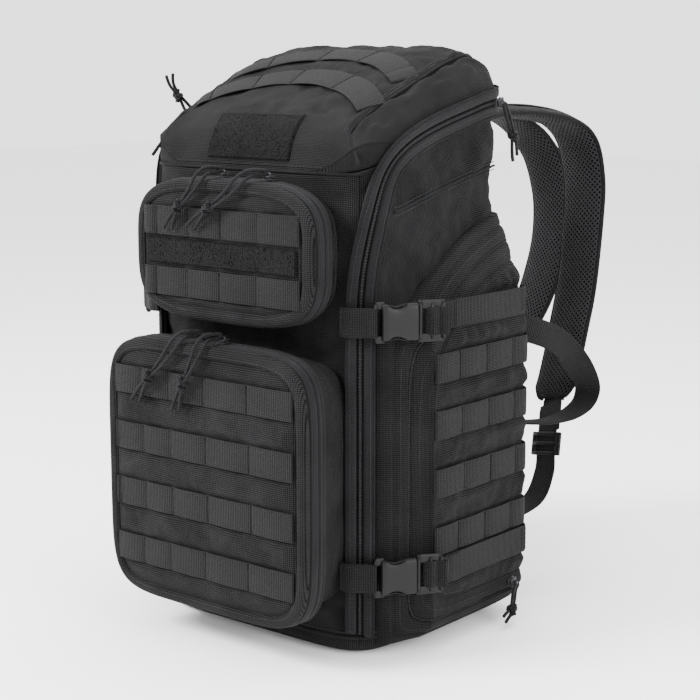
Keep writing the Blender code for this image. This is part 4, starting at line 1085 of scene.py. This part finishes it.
TAIL_ROUTES = {
    "right": [(0.1100, 0.2110, 0.1710), (0.1165, 0.1975, 0.1570), (0.1200, 0.1880, 0.1330),
              (0.1215, 0.1830, 0.1080),
              (0.1190, 0.1640, 0.0830), (0.1080, 0.1125, 0.0700)],
    "left": [(-0.038, 0.2800, 0.1610), (-0.058, 0.2560, 0.1420), (-0.076, 0.2320, 0.1240),
             (-0.090, 0.2060, 0.1040),
             (-0.102, 0.1650, 0.0820), (-0.108, 0.1125, 0.0700)],
}


def air_mesh():
    """Spacer mesh: staggered rows of round holes with raised threads between them."""
    tree, given, out = new_weave("air_mesh")
    u, hump_u = waves(tree, given[0], 0, given[1])
    v, hump_v = waves(tree, given[0], 1, given[1])
    first = sum_node(tree, "MULTIPLY", hump_u, hump_v)
    dips = []
    for shift in (0.0, 0.5):
        a = sum_node(tree, "PINGPONG", sum_node(tree, "ADD", sum_node(tree, "MULTIPLY", u, 0.5), shift), 0.5)
        b = sum_node(tree, "PINGPONG", sum_node(tree, "ADD", sum_node(tree, "MULTIPLY", v, 0.5), shift), 0.5)
        far = sum_node(tree, "ADD", sum_node(tree, "MULTIPLY", a, a), sum_node(tree, "MULTIPLY", b, b))
        dips.append(sum_node(tree, "SQRT", far))
    near = sum_node(tree, "MINIMUM", *dips)
    hole = remap(tree, near, (0.14, 0.24))
    tree.links.new(sum_node(tree, "ADD", hole, sum_node(tree, "MULTIPLY", first, 0.1)), out[0])
    return tree


mesh_lining = cloth_paint("air_mesh_lining", air_mesh(), (0.0050, 0.0050, 0.0054), 0.0026, 0.0012, 0.85,
                          0.02, 0.1)
smooth_nylon = cloth_paint("strap_nylon", WEAVE, (0.0056, 0.0056, 0.0061), 0.0007, 0.0003, 0.7, 0.03, 0.3)


def padded_strap(tag, hand):
    """One shoulder strap: two half-round faces meeting at bound edges, quilted slightly."""
    route = curve_through(STRAP_ROUTES[tag], 0.0018)
    count = len(route)
    lean = np.linspace(0, 1, count)[:, None]
    across = (1 - lean) * (1, 0, 0) + lean * (0.95, -0.31, 0)
    along = unit(np.gradient(route, axis=0))
    across = unit(across - along * (across * along).sum(1, keepdims=True))
    through = np.cross(across, along)
    side = np.sign(np.einsum("ij,ij->i", through, np.array([0, 0.25, 1.0]) + 0 * through).mean())
    through = through * side
    t = np.linspace(-1, 1, 47)
    dome = (1 - np.abs(t) ** 3.2) ** 0.5
    run = np.linspace(0, 1, count)[:, None] * 0.4
    dent = 0.0010 * folds(run, t[None] * PAD_W / 2, 61 + hand, 0.04)
    end = np.clip(np.minimum(np.arange(count), np.arange(count)[::-1]) / 8, 0, 1)[:, None] ** 0.5
    wide = PAD_W / 2 * t[None] * (0.55 + 0.45 * end)
    faces = {}
    for key, sign in (("outer", 1), ("lining", -1)):
        high = sign * (PAD_T / 2 * dome[None] * end + 0.0006 - dent)
        faces[key] = route[:, None] + wide[..., None] * across[:, None] + high[..., None] * through[:, None]
    outer = surface(f"strap_outer_{tag}", [faces["outer"]], smooth_nylon, "pack",
                    [f"shoulder_strap_{tag}"])
    lining = surface(f"strap_lining_{tag}", [faces["lining"]], mesh_lining, "pack")
    edges = [sweep(route + across * PAD_W / 2 * s * (0.55 + 0.45 * end), through, tube_profile(0.0021, 9))
             for s in (1, -1)]
    surface(f"strap_binding_{tag}", edges, binding, "pack")
    middle = slice(int(count * 0.06), int(count * 0.93))
    web, web_across, web_up = route[middle], across[middle], through[middle]
    surface(f"strap_webbing_{tag}", [sweep(web + web_up * (PAD_T / 2 + 0.0008), web_across,
                                           strap_profile(0.020, 0.0014))], webbing, "pack")
    dashes = [stitch_line(web + web_up * (PAD_T / 2 + 0.0016) + web_across * off, web_across[0])
              for off in (-0.0078, 0.0078)]
    surface(f"strap_webbing_stitches_{tag}", dashes, thread, "pack")


def strap_tail(tag):
    """Webbing from the pad's end through a ladder adjuster down to the bag's low back corner."""
    tail = curve_through(TAIL_ROUTES[tag], 0.0016)
    count = len(tail)
    share = np.linspace(0, 1, count)[:, None]
    across = (1 - share) * (0.95, -0.31, 0) + share * (1, 0, 0)
    pad_end = np.array(STRAP_ROUTES[tag][-1])
    strips = [sweep(tail, across, strap_profile(WEB, 0.0018))]
    strips.append(sweep(curve_through([pad_end, (pad_end + tail[0]) / 2 + (0, 0.002, 0),
                                       tail[int(count * 0.2)] + (0, 0.004, 0)], 0.001), across[0],
                        strap_profile(WEB, 0.0018)))
    surface(f"tail_web_{tag}", strips, webbing, "pack", [f"strap_tail_{tag}"])
    at = int(count * 0.27)
    along = unit(tail[at + 3] - tail[at - 3])
    wide = unit(across[at] - along * (across[at] @ along))
    thin = np.cross(wide, along)
    ladder = []
    for place in (-0.0095, 0.0, 0.0095):
        middle = tail[at] + along * place
        ladder.append(bar(middle - wide * 0.0165, middle + wide * 0.0165, 0.0040, 0.0042, along))
    for side in (1, -1):
        middle = tail[at] + wide * side * 0.0155
        ladder.append(bar(middle - along * 0.0110, middle + along * 0.0110, 0.0036, 0.0052, thin))
    surface(f"ladder_{tag}", ladder, plastic, "pack", [f"strap_adjuster_{tag}"])


GRAB = [(0.1120, 0.1130, 0.266), (0.1320, 0.1210, 0.262), (0.1460, 0.1580, 0.247), (0.1500, 0.1880, 0.224),
        (0.1500, 0.2100, 0.200), (0.1490, 0.2140, 0.186), (0.1480, 0.2040, 0.175), (0.1450, 0.1780, 0.168),
        (0.1380, 0.1450, 0.168), (0.1080, 0.1130, 0.170)]
for hand, tag in ((1, "right"), (-1, "left")):
    padded_strap(tag, hand)
    strap_tail(tag)
    loop = curve_through(np.array(GRAB) * (hand, 1, 1), 0.0015)
    turn = np.clip(np.linspace(-0.6, 2.0, len(loop)), 0, 1)[:, None]
    lean = (1 - turn) * (0, 0.3, 0.95) + turn * (hand, 0.2, 0)
    surface(f"grab_web_{tag}", [sweep(loop, lean, strap_profile(WEB, 0.0019))], webbing, "pack",
            [f"grab_handle_{tag}"])

# Back pads: foam under air mesh, stitched into three quilted channels each
for hand, tag in ((1, "right"), (-1, "left")):
    x, z = np.meshgrid(np.linspace(0.009, 0.089, 80), np.linspace(0.103, 0.409, 220), indexing="ij")
    edge = np.minimum(np.minimum(x - 0.009, 0.089 - x), np.minimum(z - 0.103, 0.409 - z))
    rounded = np.clip(edge / 0.012, 0, 1)
    channels = np.min(np.abs(z[..., None] - np.array((0.205, 0.307))), axis=-1)
    height = 0.0012 + 0.0098 * (1 - (1 - rounded) ** 2) ** 0.5
    height -= 0.006 * np.exp(-((channels / 0.004) ** 2)) * rounded
    height -= 0.0012 * folds(x, z, 71 + hand, 0.03) * rounded
    pad = surface(f"back_mesh_{tag}", [np.stack([hand * x, -bag_front(x) + height, z], -1)], mesh_lining,
                  "pack", [f"back_pad_{tag}"])
grip_y = BAG_D / 2 + GAP
grip = [(-0.034, grip_y + 0.003, 0.432), (-0.033, grip_y + 0.0176, 0.4355),
        (-0.024, grip_y + 0.0276, 0.437), (0, grip_y + 0.0306, 0.4375)]
grip += [(-x, y, z) for x, y, z in grip[2::-1]]
surface("haul_web", [sweep(curve_through(grip, 0.001), (0, 0, 1), strap_profile(0.022, 0.0022))], webbing,
        "pack", ["haul_handle"])

# ---- Zip sliders and cord pulls: a small painted metal slider on each zipper, with a doubled braided cord
# looped through its eye, tied in a bulky knot, and two cut tails.
CORD_D, SLIDER = 0.003, (0.008, 0.011, 0.0045)
braid = cloth_paint("cord_braid", RIBS, (0.0050, 0.0050, 0.0055), 0.0012, 0.0006, 0.6, 0.02, 0.15)
slider_metal = satin_plastic("slider_metal", (0.014, 0.014, 0.0155), 0.30)


def slider_body(name, at, axes, body, node):
    """The slider's two winged plates round the coil, with a raised bridge for the cord."""
    length, wide, thick = SLIDER
    plates = []
    for low, high in ((-0.5, -0.22), (0.10, 0.38)):
        mid, deep = (low + high) / 2 * thick, (high - low) * thick
        form = [(-0.5, 0.50), (-0.42, 0.66), (-0.1, 0.70), (0.15, 0.92), (0.40, 0.96), (0.5, 0.80)]
        plates.append(stack(at, axes, [(a * length, b * wide, deep, 0, mid) for a, b in form], 3.0, 33))
    post = [(-0.10, 0.30), (0.25, 0.34)]
    plates.append(stack(at, axes, [(a * length, b * wide, thick * 0.8, 0, 0) for a, b in post], 3.0, 21))
    a, _, c = np.asarray(axes, float)
    arch = [at - a * 0.0032 + c * 0.0016, at - a * 0.0026 + c * 0.0034, at + c * 0.0040,
            at + a * 0.0028 + c * 0.0034, at + a * 0.0034 + c * 0.0016]
    plates.append(sweep(curve_through(arch, 0.0005), np.asarray(axes[1]), strap_profile(0.0030, 0.0010)))
    surface(name, plates, slider_metal, body, [node])


def cord_pull(name, points, body, normal, node, knot_at):
    """Two cord strands from the slider's eye through a knot to two tails; the first stands in for the model's
    cord part, which it hides.
    """
    line = curve_through(points, 0.0006)
    count = len(line)
    share = np.linspace(0, 1, count)
    along = unit(np.gradient(line, axis=0))
    side = unit(np.cross(along, normal))
    face = np.cross(side, along)
    apart = ramp(share, ((0, 0.0016), (knot_at * 0.45, 0.0036), (knot_at - 0.05, 0.0015),
                         (knot_at + 0.06, 0.0015), (1, 0.0046)))
    sway = 0.0009 * np.sin(share * 9)
    strands = []
    for sign, trim in ((1, 1.0), (-1, 0.955)):
        path = line + side * (sign * apart + sway)[:, None] + face * (0.0007 * sign * np.sin(share * 7))[:,
            None]
        path = path[: int(count * trim)]
        grow = np.ones(len(path))
        grow[-3:] = (1.0, 1.04, 0.8)
        strands.append((path, sweep(path, face[: len(path)], tube_profile(CORD_D / 2, 12), grow)))
    first = surface(f"{name}_strand", [strands[0][1]], braid, body, [node])
    second = surface(f"{name}_strand_two", [strands[1][1]], braid, body)
    at = int(count * knot_at)
    turn = np.linspace(0, 2 * np.pi * 2.6, 90)[:, None]
    slide = np.linspace(-0.0036, 0.0036, 90)[:, None]
    wrap = line[at] + along[at] * slide + 0.0031 * (np.cos(turn) * side[at] + np.sin(turn) * face[at] * 0.9)
    wrap = wrap + along[at] * 0.0010 * np.sin(turn * 0.5)
    lean = [-0.004, -0.001, 0.002, 0.0045]
    cross_over = np.array([line[at] + along[at] * a + side[at] * b + face[at] * 0.0042
                           for a, b in zip(lean, (0.0026, -0.0012, 0.0012, -0.0026))])
    knot = surface(f"{name}_knot", [sweep(wrap, along[at], tube_profile(0.00155, 10)),
                                    sweep(curve_through(cross_over, 0.0004), face[at],
                                          tube_profile(0.0014, 10))], braid, body)
    path = strands[0][0]


PULLS = (
    (LOWER, (("left", -0.014, -0.060, 0.058), ("right", 0.010, -0.034, 0.060))),
    (UPPER, (("left", -0.012, -0.044, 0.046), ("right", 0.040, -0.070, 0.044))),
)
for pocket, places in PULLS:
    face_y, top = -BAG_D / 2 - pocket["stand"], pocket["high"]
    front = face_y - 0.0018 - DRAPE - CORD_D
    for tag, x, drift, drop in places:
        at = np.array([x, face_y + FACE_DEPTH + GAP + ZIP_BAND / 2, top + 0.0012 + SLIDER[2] / 2])
        body = f"{pocket['name']}_pocket_pull_{tag}"
        slider_body(f"{pocket['name']}_slide_{tag}", at, ((1, 0, 0), (0, 1, 0), (0, 0, 1)), body,
                    f"{pocket['name']}_pocket_slider_{tag}")
        route = [at + (0, -0.001, 0.0042), at + (drift * 0.03, -0.0075, 0.0040),
                 (x + drift * 0.12, face_y - 0.002, top + 0.0050)]
        for way, off, down in ((0.35, 0.003, 0.22), (0.62, 0.004, 0.5), (0.85, 0.002, 0.78), (1, 0.001, 1)):
            route.append((x + drift * way, front - off, top - drop * down))
        cord_pull(f"{pocket['name']}_pull_{tag}", route, body, (0, -1, 0),
                  f"{pocket['name']}_pocket_cord_{tag}", 0.66)

RIM_HANGS = (
    (1, "right", BAG_D / 2 - 0.032, ((0.0015, 0.004, -0.010), (0.003, 0.006, -0.022),
                                     (0.003, 0.012, -0.036), (0.002, 0.016, -0.050))),
    (-1, "left", -0.020, ((0.003, -0.006, 0.008), (0.009, -0.014, 0.020), (0.012, -0.022, 0.033),
                          (0.008, -0.030, 0.046))),
)
for hand, tag, y, hang in RIM_HANGS:
    along = unit(np.array([0, 1, (rim_z(y) - rim_z(y - 0.04)) / 0.04]))
    out = np.array([hand, 0, 0])
    at = np.array([hand * (BAG_W / 2 + 2 * GAP + TAPE_T + SLIDER[2] / 2 + 0.0008), y, float(rim_z(y))])
    slider_body(f"main_slide_{tag}", at, (along, np.cross(out, along), out), f"main_pull_{tag}",
                f"main_slider_{tag}")
    reach = at + out * (SLIDER[2] / 2 + CORD_D / 2 + 2 * GAP)
    cord_pull(f"main_pull_{tag}", [reach] + [reach + (hand * dx, dy, dz) for dx, dy, dz in hang],
              f"main_pull_{tag}", (hand, 0, 0), f"main_cord_{tag}", 0.55)

for hand, tag in ((1, "right"), (-1, "left")):
    y, z = SIDE_Y[1] - 0.0335, SIDE_FULL_Z[0] + 0.002
    at = np.array([hand * (float(side_face(np.array(y), np.array(z))) + 0.0016 + SLIDER[2] / 2), y, z])
    out = np.array([hand, 0, 0])
    slider_body(f"side_slide_{tag}", at, ((0, 1, 0), (0, 0, 1), out), f"side_pull_{tag}",
                f"side_slider_{tag}")
    reach = at + out * (SLIDER[2] / 2 + CORD_D / 2 + 2 * GAP)
    steps = ((0.001, -0.004, -0.008), (0.003, -0.011, -0.017), (0.006, -0.020, -0.0225),
             (0.008, -0.031, -0.0262))
    cord_pull(f"side_pull_{tag}", [reach] + [reach + (hand * dx, dy, dz) for dx, dy, dz in steps],
              f"side_pull_{tag}", (hand, 0, 0), f"side_cord_{tag}", 0.6)

# ---- Frame sheet: the stiff plastic board inside the back wall, seen only when the cap is open
board = satin_plastic("frame_board", (0.010, 0.010, 0.011), 0.5)
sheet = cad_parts["frame_sheet"]
sheet.data.materials.clear()
sheet.data.materials.append(board)
